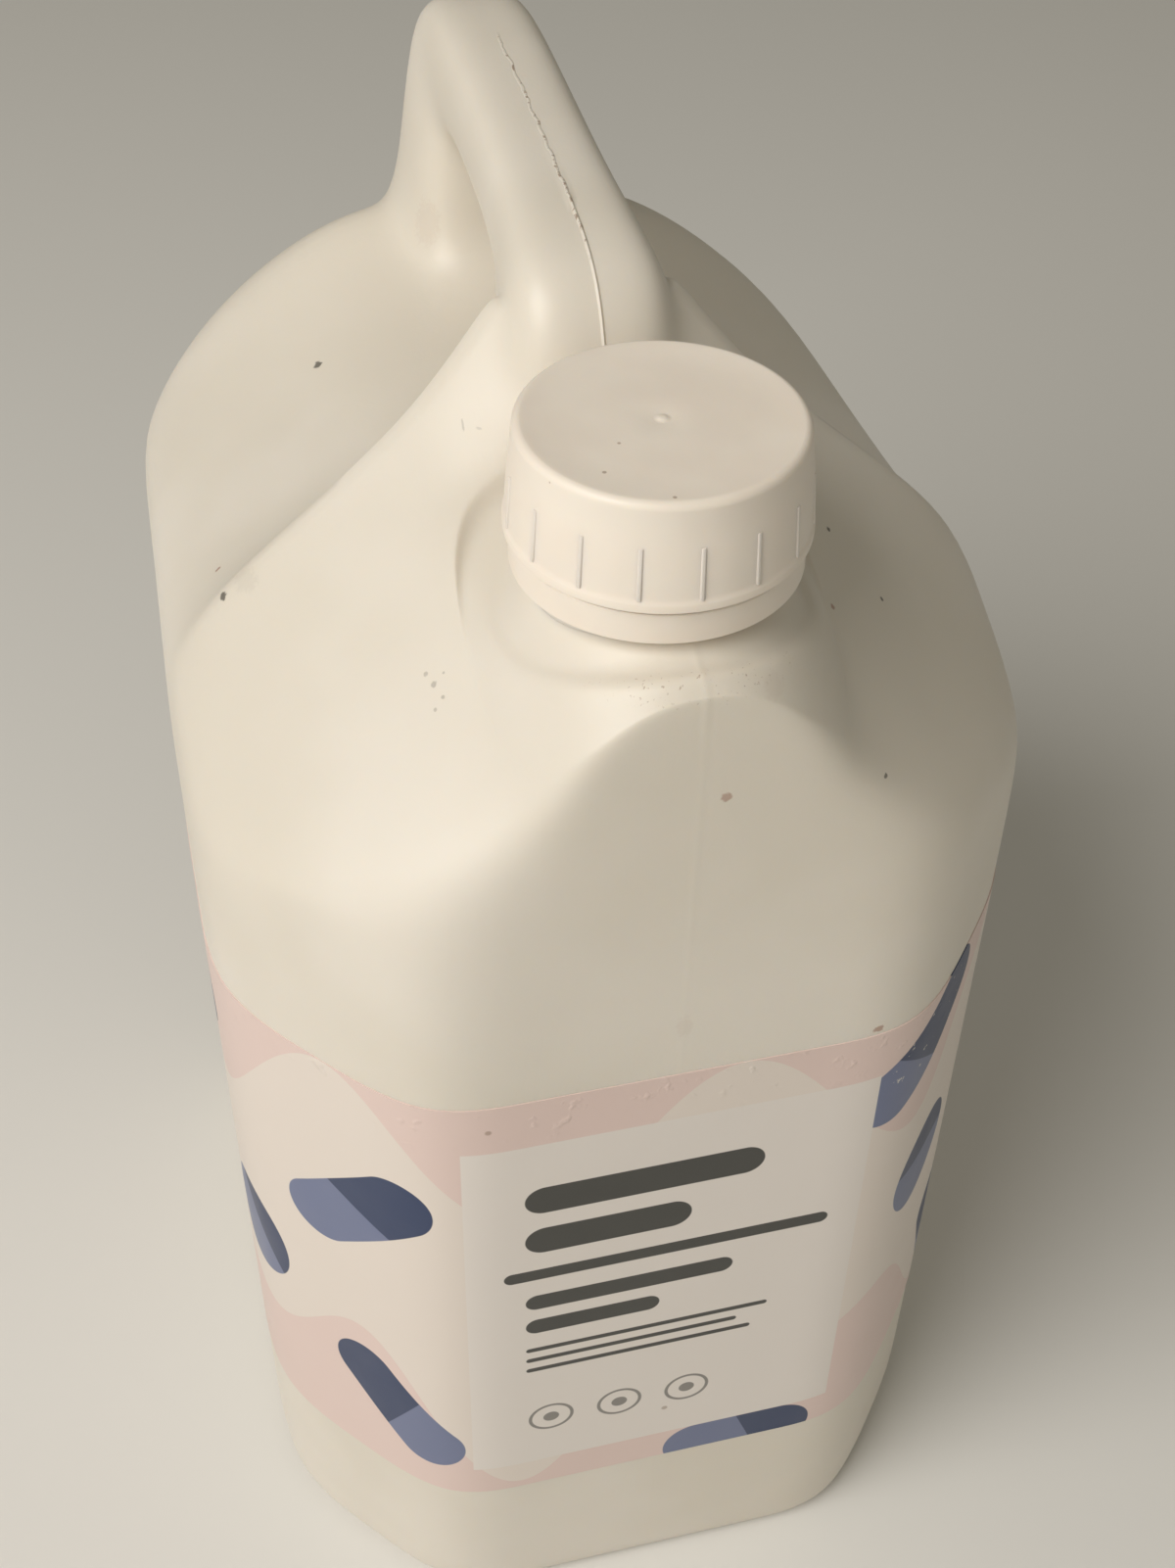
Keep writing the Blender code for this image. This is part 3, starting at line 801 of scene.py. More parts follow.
# %% Moulded grain
def make_grain():
    inputs = [
        ("Grain scale", FLOAT, 900), ("Grain depth", FLOAT, 0.00001),
        ("Wave scale", FLOAT, 45), ("Wave depth", FLOAT, 0.0001), ("Extra height", FLOAT, 0),
    ]
    tree, given, result = new_group("moulded grain", inputs, [("Normal", VECTOR)])
    place = object_place(tree)
    fine = calc(tree, "MULTIPLY", noise(tree, place, given["Grain scale"], 3), given["Grain depth"])
    slow = calc(tree, "MULTIPLY", noise(tree, place, given["Wave scale"], 1), given["Wave depth"])
    height = calc(tree, "ADD", calc(tree, "ADD", fine, slow), given["Extra height"])
    bump = tree.nodes.new("ShaderNodeBump")
    bump.inputs["Strength"].default_value = 1
    bump.inputs["Distance"].default_value = 1
    feed(tree, bump.inputs["Height"], height)
    feed(tree, result["Normal"], bump.outputs[0])
    return tree


# %% One mark at a stated place
def make_mark():
    inputs = [("Centre", VECTOR, (0, 0, 0)), ("Reach", VECTOR, (0.001, 0.001, 0.001)), ("Edge", FLOAT, 0)]
    tree, given, result = new_group("one mark", inputs, [("Mask", FLOAT)])
    place = object_place(tree)
    offset = vector_calc(tree, "SUBTRACT", place, given["Centre"])
    distance = vector_calc(tree, "LENGTH", vector_calc(tree, "DIVIDE", offset, given["Reach"]))
    ragged = calc(tree, "ADD", distance, given["Edge"])
    feed(tree, result["Mask"], fade(tree, ragged, 0.6, 1.1))
    return tree


# %% Scattered specks
def make_specks():
    inputs = [("Cells per metre", FLOAT, 150), ("Speck size", FLOAT, 0.06), ("Share", FLOAT, 0.2)]
    tree, given, result = new_group("scattered specks", inputs, [("Mask", FLOAT)])
    cells = tree.nodes.new("ShaderNodeTexVoronoi")
    place = object_place(tree)
    cells.inputs["Randomness"].default_value = 1
    feed(tree, cells.inputs["Vector"], place)
    feed(tree, cells.inputs["Scale"], given["Cells per metre"])
    chance, _, size = axes(tree, cells.outputs["Color"])
    kept = calc(tree, "LESS_THAN", chance, given["Share"])
    limit = calc(tree, "MULTIPLY", calc(tree, "ADD", size, 0.25), given["Speck size"])
    inside = fade(tree, calc(tree, "DIVIDE", cells.outputs["Distance"], limit), 0.6, 1.0)
    feed(tree, result["Mask"], calc(tree, "MULTIPLY", inside, kept))
    return tree


# %% Dirt along the parting line
def make_seam_dirt():
    """Dirt on the parting line above a floor and between two setbacks; Line is the line alone."""
    inputs = [
        ("From setback", FLOAT, 0), ("To setback", FLOAT, 0.1),
        ("Floor", FLOAT, 0.25), ("Amount", FLOAT, 0.5),
    ]
    tree, given, result = new_group("seam dirt", inputs, [("Mask", FLOAT), ("Line", FLOAT)])
    place = object_place(tree)
    x, y, z = axes(tree, place)
    wander = calc(tree, "MULTIPLY_ADD", noise(tree, place, 260, 2), 0.0014, -0.0007)
    aside = calc(tree, "ABSOLUTE", calc(tree, "ADD", x, wander))
    line = fade(tree, aside, 0.0001, 0.00032)
    setback = calc(tree, "SUBTRACT", y, NECK_Y)
    after = fade(tree, setback, given["From setback"], calc(tree, "SUBTRACT", given["From setback"], 0.004))
    before = fade(tree, setback, given["To setback"], calc(tree, "ADD", given["To setback"], 0.004))
    above = fade(tree, z, given["Floor"], calc(tree, "SUBTRACT", given["Floor"], 0.004))
    stretch = calc(tree, "MULTIPLY", calc(tree, "MULTIPLY", after, before), above)
    grains = noise(tree, place, 700, 3, 0.7)
    limit = calc(tree, "SUBTRACT", 0.72, calc(tree, "MULTIPLY", given["Amount"], 0.3))
    dots = fade(tree, grains, calc(tree, "ADD", limit, 0.05), calc(tree, "SUBTRACT", limit, 0.02))
    feed(tree, result["Line"], calc(tree, "MULTIPLY", line, stretch))
    feed(tree, result["Mask"], calc(tree, "MULTIPLY", calc(tree, "MULTIPLY", line, stretch), dots))
    return tree


# %% Dust in a ring round the neck
def make_moat_dust():
    """Grains of dust that lie in the dish, left of the neck and in front of it."""
    inputs = [
        ("Radius", FLOAT, 0.025), ("Width", FLOAT, 0.004),
        ("Height", FLOAT, 0.255), ("Amount", FLOAT, 0.5),
    ]
    tree, given, result = new_group("moat dust", inputs, [("Mask", FLOAT)])
    place = object_place(tree)
    x, y, z = axes(tree, vector_calc(tree, "SUBTRACT", place, (0, NECK_Y, 0)))
    radius = calc(tree, "SQRT", calc(tree, "ADD", calc(tree, "MULTIPLY", x, x), calc(tree, "MULTIPLY", y, y)))
    aside = calc(tree, "ABSOLUTE", calc(tree, "SUBTRACT", radius, given["Radius"]))
    band = fade(tree, calc(tree, "DIVIDE", aside, given["Width"]), 0.3, 1.0)
    low = fade(tree, calc(tree, "ABSOLUTE", calc(tree, "SUBTRACT", z, given["Height"])), 0.003, 0.006)
    left = fade(tree, calc(tree, "ADD", x, calc(tree, "MULTIPLY", y, 0.6)), 0.0, 0.03)
    grains = fade(tree, noise(tree, place, 1500, 3, 0.65), 0.70, 0.63)
    mask = calc(tree, "MULTIPLY", calc(tree, "MULTIPLY", band, low), calc(tree, "MULTIPLY", grains, left))
    feed(tree, result["Mask"], calc(tree, "MULTIPLY", mask, given["Amount"]))
    return tree


grain_group = make_grain()
mark_group = make_mark()
specks_group = make_specks()
seam_dirt_group = make_seam_dirt()
moat_dust_group = make_moat_dust()
print("shared groups:", [group.name for group in bpy.data.node_groups])

# %% [markdown]
# ## Finishes
#
# Unpigmented polyethylene is a warm, milky white with a satin skin, and light enters it a little
# way before it leaves again. A small subsurface share gives that depth. The cap is the same kind
# of plastic, a little paler and warmer.

# %% Plastics
BODY_WARM = (0.80, 0.745, 0.665, 1)
BODY_DULL = (0.745, 0.69, 0.60, 1)
CAP_WARM = (0.885, 0.80, 0.705, 1)
CAP_DULL = (0.855, 0.765, 0.67, 1)
FOAM_LIGHT = (0.88, 0.87, 0.84, 1)
FOAM_DARK = (0.76, 0.75, 0.72, 1)
GRIME = (0.22, 0.12, 0.06, 1)
DARK_MARK = (0.05, 0.045, 0.035, 1)
RUST_MARK = (0.30, 0.10, 0.045, 1)


def plastic(name, roughness, subsurface):
    """A satin plastic: the material, its tree and its shader."""
    material = bpy.data.materials.new(name)
    material.use_nodes = True
    tree = material.node_tree
    shader = tree.nodes["Principled BSDF"]
    shader.inputs["Metallic"].default_value = 0
    shader.inputs["Roughness"].default_value = roughness
    shader.inputs["IOR"].default_value = 1.5
    shader.inputs["Subsurface Weight"].default_value = subsurface
    shader.inputs["Subsurface Radius"].default_value = (1.0, 0.75, 0.5)
    shader.inputs["Subsurface Scale"].default_value = 0.002
    return material, tree, shader


# %% Marks that the photo shows
# Each mark: place in mm as (x, distance behind the neck, height), half sizes in mm, colour and strength.
MARKS = [
    ((-62, 45, 225.5), (1.9, 1.1, 0.7), DARK_MARK, 0.8),
    ((-62, 52, 226), (1.0, 0.5, 0.5), RUST_MARK, 0.7),
    ((-37, 100, 234), (0.9, 1.0, 1.1), DARK_MARK, 0.8),
    ((-11, 125, 247), (3, 4, 5), RUST_MARK, 0.07),
    ((-22, 35, 260), (0.2, 1.1, 0.9), DARK_MARK, 0.25),
    ((-20, 32, 261), (0.5, 0.6, 0.3), DARK_MARK, 0.2),
    ((-34, 1, 237), (0.6, 0.6, 0.6), DARK_MARK, 0.35),
    ((-33, -1, 236), (0.4, 0.4, 0.4), DARK_MARK, 0.35),
    ((-35, 2, 238.5), (0.5, 0.5, 0.5), DARK_MARK, 0.3),
    ((-34.5, -2, 234.5), (0.4, 0.4, 0.4), DARK_MARK, 0.3),
    ((-32.5, 1, 239), (0.3, 0.3, 0.3), DARK_MARK, 0.3),
    ((30, 2, 240), (0.6, 0.6, 0.6), RUST_MARK, 0.6),
    ((4, -28, 232), (0.9, 0.9, 0.9), RUST_MARK, 0.5),
    ((35, 19, 242), (0.5, 0.5, 0.5), DARK_MARK, 0.8),
    ((41, 8, 235), (0.5, 0.5, 0.5), DARK_MARK, 0.8),
    ((29, -28, 231), (0.5, 0.5, 0.5), DARK_MARK, 0.7),
    ((0, -28, 181), (1.6, 2, 3), RUST_MARK, 0.06),
    ((35, -28, 171), (1.1, 2, 0.8), RUST_MARK, 0.6),
    ((-58, 44, 229), (4, 3, 2), DARK_MARK, 0.07),
    ((16, -12, 238), (2, 3, 2), RUST_MARK, 0.05),
]


def lay_marks(tree, colour, marks):
    """Blend the marks over a colour; they share one noise that makes their edges ragged."""
    edge = calc(tree, "MULTIPLY_ADD", noise(tree, object_place(tree), 1300, 3), 1.4, -0.7)
    for (x, setback, height), reach, tint, strength in marks:
        centre = seen_place(x, setback, height)
        size = tuple(value * MM for value in reach)
        mask = use(tree, mark_group, {"Centre": centre, "Reach": size, "Edge": edge})["Mask"]
        colour = blend(tree, calc(tree, "MULTIPLY", mask, strength), colour, tint)
    return colour


# %% Shell plastic
def make_shell_plastic():
    material, tree, shader = plastic("shell plastic", 0.42, 0.25)
    place = object_place(tree)
    slow = fade(tree, noise(tree, place, 14, 3), 0.62, 0.38)
    colour = blend(tree, slow, BODY_WARM, BODY_DULL)
    colour = lay_marks(tree, colour, MARKS)
    handle = {"From setback": 0.044, "To setback": 0.106, "Floor": 0.276, "Amount": 0.6}
    seam = use(tree, seam_dirt_group, handle)
    colour = blend(tree, calc(tree, "MULTIPLY", seam["Mask"], 0.7), colour, GRIME)
    dust = use(tree, moat_dust_group, {"Radius": 0.0262, "Width": 0.0035, "Height": 0.2550, "Amount": 0.5})
    colour = blend(tree, dust["Mask"], colour, GRIME)
    fine = use(tree, specks_group, {"Cells per metre": 70, "Speck size": 0.05, "Share": 0.10})
    colour = blend(tree, calc(tree, "MULTIPLY", fine["Mask"], 0.5), colour, GRIME)
    feed(tree, shader.inputs["Base Color"], colour)
    rough = remap(tree, noise(tree, place, 60, 3), 0.34, 0.52)
    feed(tree, shader.inputs["Roughness"], rough)
    lift = calc(tree, "MULTIPLY", seam["Line"], 0.00008)
    grain = {
        "Grain scale": 1100, "Grain depth": 0.000018,
        "Wave scale": 40, "Wave depth": 0.00028, "Extra height": lift,
    }
    feed(tree, shader.inputs["Normal"], use(tree, grain_group, grain)["Normal"])
    return material


# %% Cap plastic and foam
def make_cap_plastic():
    material, tree, shader = plastic("cap plastic", 0.34, 0.25)
    place = object_place(tree)
    slow = fade(tree, noise(tree, place, 60, 2), 0.65, 0.35)
    colour = blend(tree, slow, CAP_WARM, CAP_DULL)
    fine = use(tree, specks_group, {"Cells per metre": 260, "Speck size": 0.09, "Share": 0.12})
    colour = blend(tree, calc(tree, "MULTIPLY", fine["Mask"], 0.55), colour, GRIME)
    feed(tree, shader.inputs["Base Color"], colour)
    feed(tree, shader.inputs["Roughness"], remap(tree, noise(tree, place, 220, 3), 0.38, 0.52))
    grain = {"Grain scale": 1500, "Grain depth": 0.00001, "Wave scale": 150, "Wave depth": 0.00008}
    feed(tree, shader.inputs["Normal"], use(tree, grain_group, grain)["Normal"])
    return material


def make_foam():
    material, tree, shader = plastic("liner foam", 0.8, 0.1)
    place = object_place(tree)
    cells = noise(tree, place, 2500, 2)
    feed(tree, shader.inputs["Base Color"], blend(tree, cells, FOAM_LIGHT, FOAM_DARK))
    grain = {"Grain scale": 2500, "Grain depth": 0.00006, "Wave scale": 100, "Wave depth": 0.00002}
    feed(tree, shader.inputs["Normal"], use(tree, grain_group, grain)["Normal"])
    return material


shell_plastic = make_shell_plastic()
cap_plastic = make_cap_plastic()
liner_foam = make_foam()
print("plastics:", shell_plastic.name, cap_plastic.name, liner_foam.name)

# %% [markdown]
# ## Printed film
#
# The label is a satin film with a cheerful print. The design here is a generic one: soft peach
# hills on cream, scattered two-tone capsules and discs, and an off-white panel with plain bars
# and rings where a pack has its text. Distances run along the film: across is millimetres from
# the front middle, and up is the height. A capsule is every point within a radius of a short
# line, so one group draws capsules, discs and rounded bars.

# %% Print tools
CREAM = (0.80, 0.715, 0.645, 1)
PEACH = (0.78, 0.615, 0.565, 1)
NAVY = (0.022, 0.042, 0.115, 1)
LAVENDER = (0.155, 0.185, 0.315, 1)
PANEL = (0.81, 0.75, 0.70, 1)
INK = (0.02, 0.022, 0.018, 1)
WORN = (0.75, 0.70, 0.63, 1)


def make_capsule():
    inputs = [
        ("Across", FLOAT, 0), ("Up", FLOAT, 0), ("Centre across", FLOAT, 0), ("Centre up", FLOAT, 0),
        ("Half length", FLOAT, 10), ("Radius", FLOAT, 5), ("Turn", FLOAT, 0), ("Split", FLOAT, 0),
    ]
    tree, given, result = new_group("capsule", inputs, [("Mask", FLOAT), ("Half", FLOAT)])
    across = calc(tree, "SUBTRACT", given["Across"], given["Centre across"])
    up = calc(tree, "SUBTRACT", given["Up"], given["Centre up"])
    cosine = calc(tree, "COSINE", given["Turn"])
    sine = calc(tree, "SINE", given["Turn"])
    along = calc(tree, "ADD", calc(tree, "MULTIPLY", across, cosine), calc(tree, "MULTIPLY", up, sine))
    aside = calc(tree, "SUBTRACT", calc(tree, "MULTIPLY", up, cosine), calc(tree, "MULTIPLY", across, sine))
    beyond = calc(tree, "SUBTRACT", calc(tree, "ABSOLUTE", along), given["Half length"])
    past = calc(tree, "MAXIMUM", beyond, 0)
    squares = calc(tree, "ADD", calc(tree, "MULTIPLY", past, past), calc(tree, "MULTIPLY", aside, aside))
    reach = calc(tree, "SUBTRACT", calc(tree, "SQRT", squares), given["Radius"])
    feed(tree, result["Mask"], fade(tree, reach, -0.1, 0.1))
    tilt = calc(tree, "ADD", along, calc(tree, "MULTIPLY", aside, 0.35))
    feed(tree, result["Half"], fade(tree, calc(tree, "SUBTRACT", tilt, given["Split"]), -0.1, 0.1))
    return tree


capsule_group = make_capsule()


# %% Layout of the print
# Capsules and discs: across, up, half length, radius and turn in mm and degrees, and where the tone changes.
MOTIFS = [
    (-60, 130, 12, 7.5, 40, 1), (-54, 68, 11, 7.5, 130, -2), (-92, 96, 0, 12, 20, 3),
    (-118, 148, 9, 8, 10, -3), (-131, 62, 10, 9, 70, 2), (-165, 112, 8, 9, 130, 0),
    (-196, 70, 0, 11.5, 80, -2), (-214, 140, 10, 8, 35, 3), (-250, 96, 9, 9, 100, -1),
    (-276, 152, 0, 11, 0, 1), (-280, 60, 9, 8, 150, 2), (50, 156, 12, 7.5, 35, -3),
    (60, 112, 0, 12, 60, 2), (84, 66, 10, 8.5, 110, 1), (96, 140, 8, 9, 145, -1),
    (128, 100, 9, 9, 40, 2), (146, 152, 0, 11, 120, -2), (162, 62, 10, 8, 15, 0),
    (190, 118, 8, 9, 80, 3), (222, 74, 0, 12, 30, -1), (232, 150, 10, 8, 160, 2),
    (262, 106, 9, 8.5, 55, -2), (284, 150, 7, 8, 5, 1), (18, 45, 9, 7, 0, 2),
]
# Rounded bars that stand in for text on the panel: left end, height, length and thickness.
BARS = [
    (-27, 141, 44, 7.5), (-27, 129, 31, 7.5), (-31, 118.5, 62, 3.2), (-27, 109.5, 40, 4.6),
    (-27, 101.5, 26, 4.6), (-27, 93.5, 48, 1.3), (-27, 90, 42, 1.3), (-27, 86.5, 45, 1.3),
]
# Small rings near the panel's foot: across, height and radius.
RINGS = [(-22, 68, 4.6), (-8, 68, 4.6), (6, 68, 4.6)]
PANEL_SIDES = (-38, 37.5)
PANEL_ENDS = (52, 157)
# Heights about which the hills and the band at the film's head wave.
HILL_MIDDLE = 72
HEAD_MIDDLE = 152


def lay_capsule(tree, across, up, centre, half_length, radius, turn=0.0, split=0.0):
    values = {
        "Across": across, "Up": up, "Centre across": centre[0], "Centre up": centre[1],
        "Half length": half_length, "Radius": radius, "Turn": math.radians(turn), "Split": split,
    }
    return use(tree, capsule_group, values)


def wave(tree, across, rate, start, height):
    """A sine wave along the film: rate in radians a millimetre, height in millimetres."""
    angle = calc(tree, "MULTIPLY_ADD", across, rate, start)
    return calc(tree, "MULTIPLY", calc(tree, "SINE", angle), height)


def lay_hills(tree, across, up):
    """Soft hills of the second colour along the film's foot and head."""
    first = wave(tree, across, 0.061, 0.0, 15)
    second = wave(tree, across, 0.113, 1.7, 12)
    hill = calc(tree, "ADD", calc(tree, "ADD", first, second), HILL_MIDDLE)
    low = fade(tree, calc(tree, "SUBTRACT", up, hill), -0.1, 0.1)
    third = wave(tree, across, 0.083, 0.6, 17)
    fall = calc(tree, "ADD", third, HEAD_MIDDLE)
    high = fade(tree, calc(tree, "SUBTRACT", fall, up), -0.1, 0.1)
    return calc(tree, "MAXIMUM", low, high)


def lay_panel(tree, across, up, colour):
    half_across = (PANEL_SIDES[1] - PANEL_SIDES[0]) / 2
    half_up = (PANEL_ENDS[1] - PANEL_ENDS[0]) / 2
    aside = calc(tree, "ABSOLUTE", calc(tree, "SUBTRACT", across, sum(PANEL_SIDES) / 2))
    over = calc(tree, "ABSOLUTE", calc(tree, "SUBTRACT", up, sum(PANEL_ENDS) / 2))
    past_side = calc(tree, "SUBTRACT", aside, half_across)
    past_end = calc(tree, "SUBTRACT", over, half_up)
    inside = fade(tree, calc(tree, "MAXIMUM", past_side, past_end), -0.1, 0.1)
    colour = blend(tree, inside, colour, PANEL)
    for left, height, length, thickness in BARS:
        radius = thickness / 2
        half = length / 2 - radius
        bar = lay_capsule(tree, across, up, (left + length / 2, height), half, radius)
        colour = blend(tree, calc(tree, "MULTIPLY", bar["Mask"], 0.96), colour, INK)
    for centre, height, radius in RINGS:
        disc = lay_capsule(tree, across, up, (centre, height), 0, radius)["Mask"]
        hole = lay_capsule(tree, across, up, (centre, height), 0, radius - 0.7)["Mask"]
        dot = lay_capsule(tree, across, up, (centre, height), 0, radius * 0.35)["Mask"]
        ring = calc(tree, "ADD", calc(tree, "SUBTRACT", disc, hole), dot)
        colour = blend(tree, calc(tree, "MULTIPLY", ring, 0.7), colour, INK)
    return colour


# %% Film material
def make_film():
    material, tree, shader = plastic("printed film", 0.4, 0.05)
    chart = tree.nodes.new("ShaderNodeUVMap")
    chart.uv_map = "print"
    u, v, _ = axes(tree, chart.outputs["UV"])
    across = calc(tree, "MULTIPLY", u, 1000)
    up = calc(tree, "MULTIPLY", v, 1000)
    colour = blend(tree, lay_hills(tree, across, up), CREAM, PEACH)
    for x, height, half, radius, turn, split in MOTIFS:
        shape = lay_capsule(tree, across, up, (x, height), half, radius, turn, split)
        tone = blend(tree, shape["Half"], NAVY, LAVENDER)
        colour = blend(tree, shape["Mask"], colour, tone)
    colour = lay_panel(tree, across, up, colour)
    place = object_place(tree)
    worn_spot = lay_capsule(tree, across, up, (54, 160), 8, 9)["Mask"]
    flakes = fade(tree, noise(tree, place, 420, 3, 0.7), 0.70, 0.64)
    worn = calc(tree, "MULTIPLY", worn_spot, flakes)
    colour = blend(tree, worn, colour, WORN)
    fine = use(tree, specks_group, {"Cells per metre": 60, "Speck size": 0.05, "Share": 0.10})
    colour = blend(tree, calc(tree, "MULTIPLY", fine["Mask"], 0.5), colour, GRIME)
    feed(tree, shader.inputs["Base Color"], colour)
    feed(tree, shader.inputs["Roughness"], remap(tree, noise(tree, place, 90, 3), 0.30, 0.46))
    creases = fade(tree, noise(tree, place, 300, 2), 0.75, 0.60)
    edge = fade(tree, up, LABEL_TOP / MM - 1, LABEL_TOP / MM - 16)
    lift = calc(tree, "MULTIPLY", calc(tree, "MULTIPLY", creases, edge), 0.00012)
    grain = {
        "Grain scale": 700, "Grain depth": 0.000006,
        "Wave scale": 55, "Wave depth": 0.00018, "Extra height": lift,
    }
    feed(tree, shader.inputs["Normal"], use(tree, grain_group, grain)["Normal"])
    return material


printed_film = make_film()
print("film nodes:", len(printed_film.node_tree.nodes))

# %% [markdown]
# ## The label as a strip
#
# A wrap-round label is a strip whose ends overlap at the back. It follows the same plan as the
# walls. Its face lies proud of them by about a sixth of a millimetre, and its back is sunk into
# them, so that no gap shows at its edges. Its plan is rounded by the rule that a subdivision
# surface follows, and each point remembers how far along the film it lies, which places the print.

# %% Plan of the film
def spread_plan(places, spread):
    """Offset a closed plan outwards by an even amount."""
    spots = [Vector((x, NECK_Y + setback)) for x, setback, _ in places]
    count = len(spots)
    moved = []
    for index, spot in enumerate(spots):
        before = (spot - spots[index - 1]).normalized()
        after = (spots[(index + 1) % count] - spot).normalized()
        along = (before + after).normalized()
        outward = Vector((along.y, -along.x))
        lean = max(0.5, outward.dot(Vector((before.y, -before.x))))
        moved.append(spot + outward * spread / lean)
    return moved


def rounded_plan(spots, times):
    """Round a closed plan as a subdivision surface rounds its border."""
    for _ in range(times):
        smooth = []
        for index, spot in enumerate(spots):
            before = spots[index - 1]
            after = spots[(index + 1) % len(spots)]
            smooth.append(before / 8 + spot * 0.75 + after / 8)
            smooth.append((spot + after) / 2)
        spots = smooth
    return spots


def film_plan():
    rows = [[point for point in row if point] for row in half_rows()]
    right = rows[0][1:] + [row[-1] for row in rows[1:-1]] + list(reversed(rows[-1][1:]))
    places = [rows[0][0]] + right + [rows[-1][0]]
    places += [(-x, setback, height) for x, setback, height in reversed(right)]
    return rounded_plan(spread_plan(places, FILM_PROUD), 4)


# %% Film strip
FILM_OVERLAP = 8 * MM


def film_strip():
    """Points along the film from the back, once round and over its own start."""
    plan = film_plan()
    count = len(plan)
    steps = [(plan[(index + 1) % count] - plan[index]).length for index in range(count)]
    round_length = sum(steps)
    half = count // 2
    strip = []
    across = -sum(steps[index] for index in range(half, count))
    index = half
    while not strip or across < round_length / 2 + FILM_OVERLAP:
        spot = plan[index % count]
        along = (plan[(index + 1) % count] - plan[(index - 1) % count]).normalized()
        outward = Vector((along.y, -along.x))
        under = max(0.0, 1 - (across + round_length / 2) / (FILM_OVERLAP * 1.6))
        sunk = min(1.0, under * 2) * FILM_PROUD * 0.6
        strip.append((spot - outward * sunk, outward, across))
        across += steps[index % count]
        index += 1
    print("film round:", round(round_length / MM), "mm,", len(strip), "points")
    return strip


def film_mesh():
    bm = bmesh.new()
    chart = bm.loops.layers.uv.new("print")
    section = ((0, LABEL_FOOT), (0, LABEL_TOP), (FILM_DEPTH, LABEL_TOP), (FILM_DEPTH, LABEL_FOOT))
    lengths = {}
    columns = []
    for spot, outward, across in film_strip():
        column = []
        for depth, height in section:
            flat = spot - outward * depth
            vertex = bm.verts.new((flat.x, flat.y, height))
            lengths[vertex] = across
            column.append(vertex)
        columns.append(column)
    for near, far in zip(columns, columns[1:]):
        for side in range(4):
            after = (side + 1) % 4
            bm.faces.new((near[side], far[side], far[after], near[after]))
    bm.faces.new(columns[0])
    bm.faces.new(list(reversed(columns[-1])))
    bmesh.ops.recalc_face_normals(bm, faces=bm.faces)
    for face in bm.faces:
        for loop in face.loops:
            loop[chart].uv = (lengths[loop.vert], loop.vert.co.z)
    return mesh_from("label_band", bm)


# %% [markdown]
# ## What repeats round the neck
#
# The cap has ribs all round its skirt, and torn bridges stand on the tamper ring. Geometry Nodes
# set one small shape at even turns about the neck's axis. The tree has named inputs for the
# count, the radius, the height and how much the shapes vary, and its result is turned into a
# plain mesh.

# %% Ring of repeats
def spaced_ring_tree():
    tree = bpy.data.node_groups.new("spaced round the neck", "GeometryNodeTree")
    sockets = (
        ("Shape", "NodeSocketGeometry"), ("Count", "NodeSocketInt"), ("Radius", FLOAT),
        ("Height", FLOAT), ("Least size", FLOAT), ("Finish", "NodeSocketMaterial"),
    )
    for label, kind in sockets:
        tree.interface.new_socket(name=label, in_out="INPUT", socket_type=kind)
    tree.interface.new_socket(name="Ring", in_out="OUTPUT", socket_type="NodeSocketGeometry")
    given = tree.nodes.new("NodeGroupInput").outputs
    result = tree.nodes.new("NodeGroupOutput").inputs
    circle = tree.nodes.new("GeometryNodeMeshCircle")
    feed_all(tree, (circle.inputs["Vertices"], circle.inputs["Radius"]), (given["Count"], given["Radius"]))
    place = tree.nodes.new("ShaderNodeCombineXYZ")
    feed_all(tree, place.inputs, (0.0, NECK_Y, given["Height"]))
    lift = tree.nodes.new("GeometryNodeTransform")
    feed(tree, lift.inputs["Geometry"], circle.outputs[0])
    feed(tree, lift.inputs["Translation"], place.outputs[0])
    step = calc(tree, "DIVIDE", math.tau, given["Count"])
    turn = tree.nodes.new("ShaderNodeCombineXYZ")
    index = tree.nodes.new("GeometryNodeInputIndex").outputs[0]
    feed(tree, turn.inputs[2], calc(tree, "MULTIPLY", index, step))
    vary = tree.nodes.new("FunctionNodeRandomValue")
    vary.data_type = "FLOAT"
    feed_all(tree, (vary.inputs[2], vary.inputs[3], vary.inputs["Seed"]), (given["Least size"], 1.0, 7))
    size = tree.nodes.new("ShaderNodeCombineXYZ")
    feed_all(tree, size.inputs, (1.0, vary.outputs[1], vary.outputs[1]))
    spread = tree.nodes.new("GeometryNodeInstanceOnPoints")
    values = {
        "Points": lift.outputs[0], "Instance": given["Shape"],
        "Rotation": turn.outputs[0], "Scale": size.outputs[0],
    }
    for label, value in values.items():
        feed(tree, spread.inputs[label], value)
    real = tree.nodes.new("GeometryNodeRealizeInstances")
    feed(tree, real.inputs[0], spread.outputs[0])
    finish = tree.nodes.new("GeometryNodeSetMaterial")
    feed(tree, finish.inputs["Geometry"], real.outputs[0])
    feed(tree, finish.inputs["Material"], given["Finish"])
    feed(tree, result[0], finish.outputs[0])
    return tree


ring_tree = spaced_ring_tree()


def ring_of(shape, values):
    """The mesh of a small shape set round the neck."""
    item = link_mesh("repeat", shape)
    spread = item.modifiers.new("spread", "NODES")
    spread.node_group = ring_tree
    for socket in ring_tree.interface.items_tree:
        if socket.name in values:
            spread[socket.identifier] = values[socket.name]
    mesh = finished_mesh(item)
    bpy.data.objects.remove(item, do_unlink=True)
    return mesh


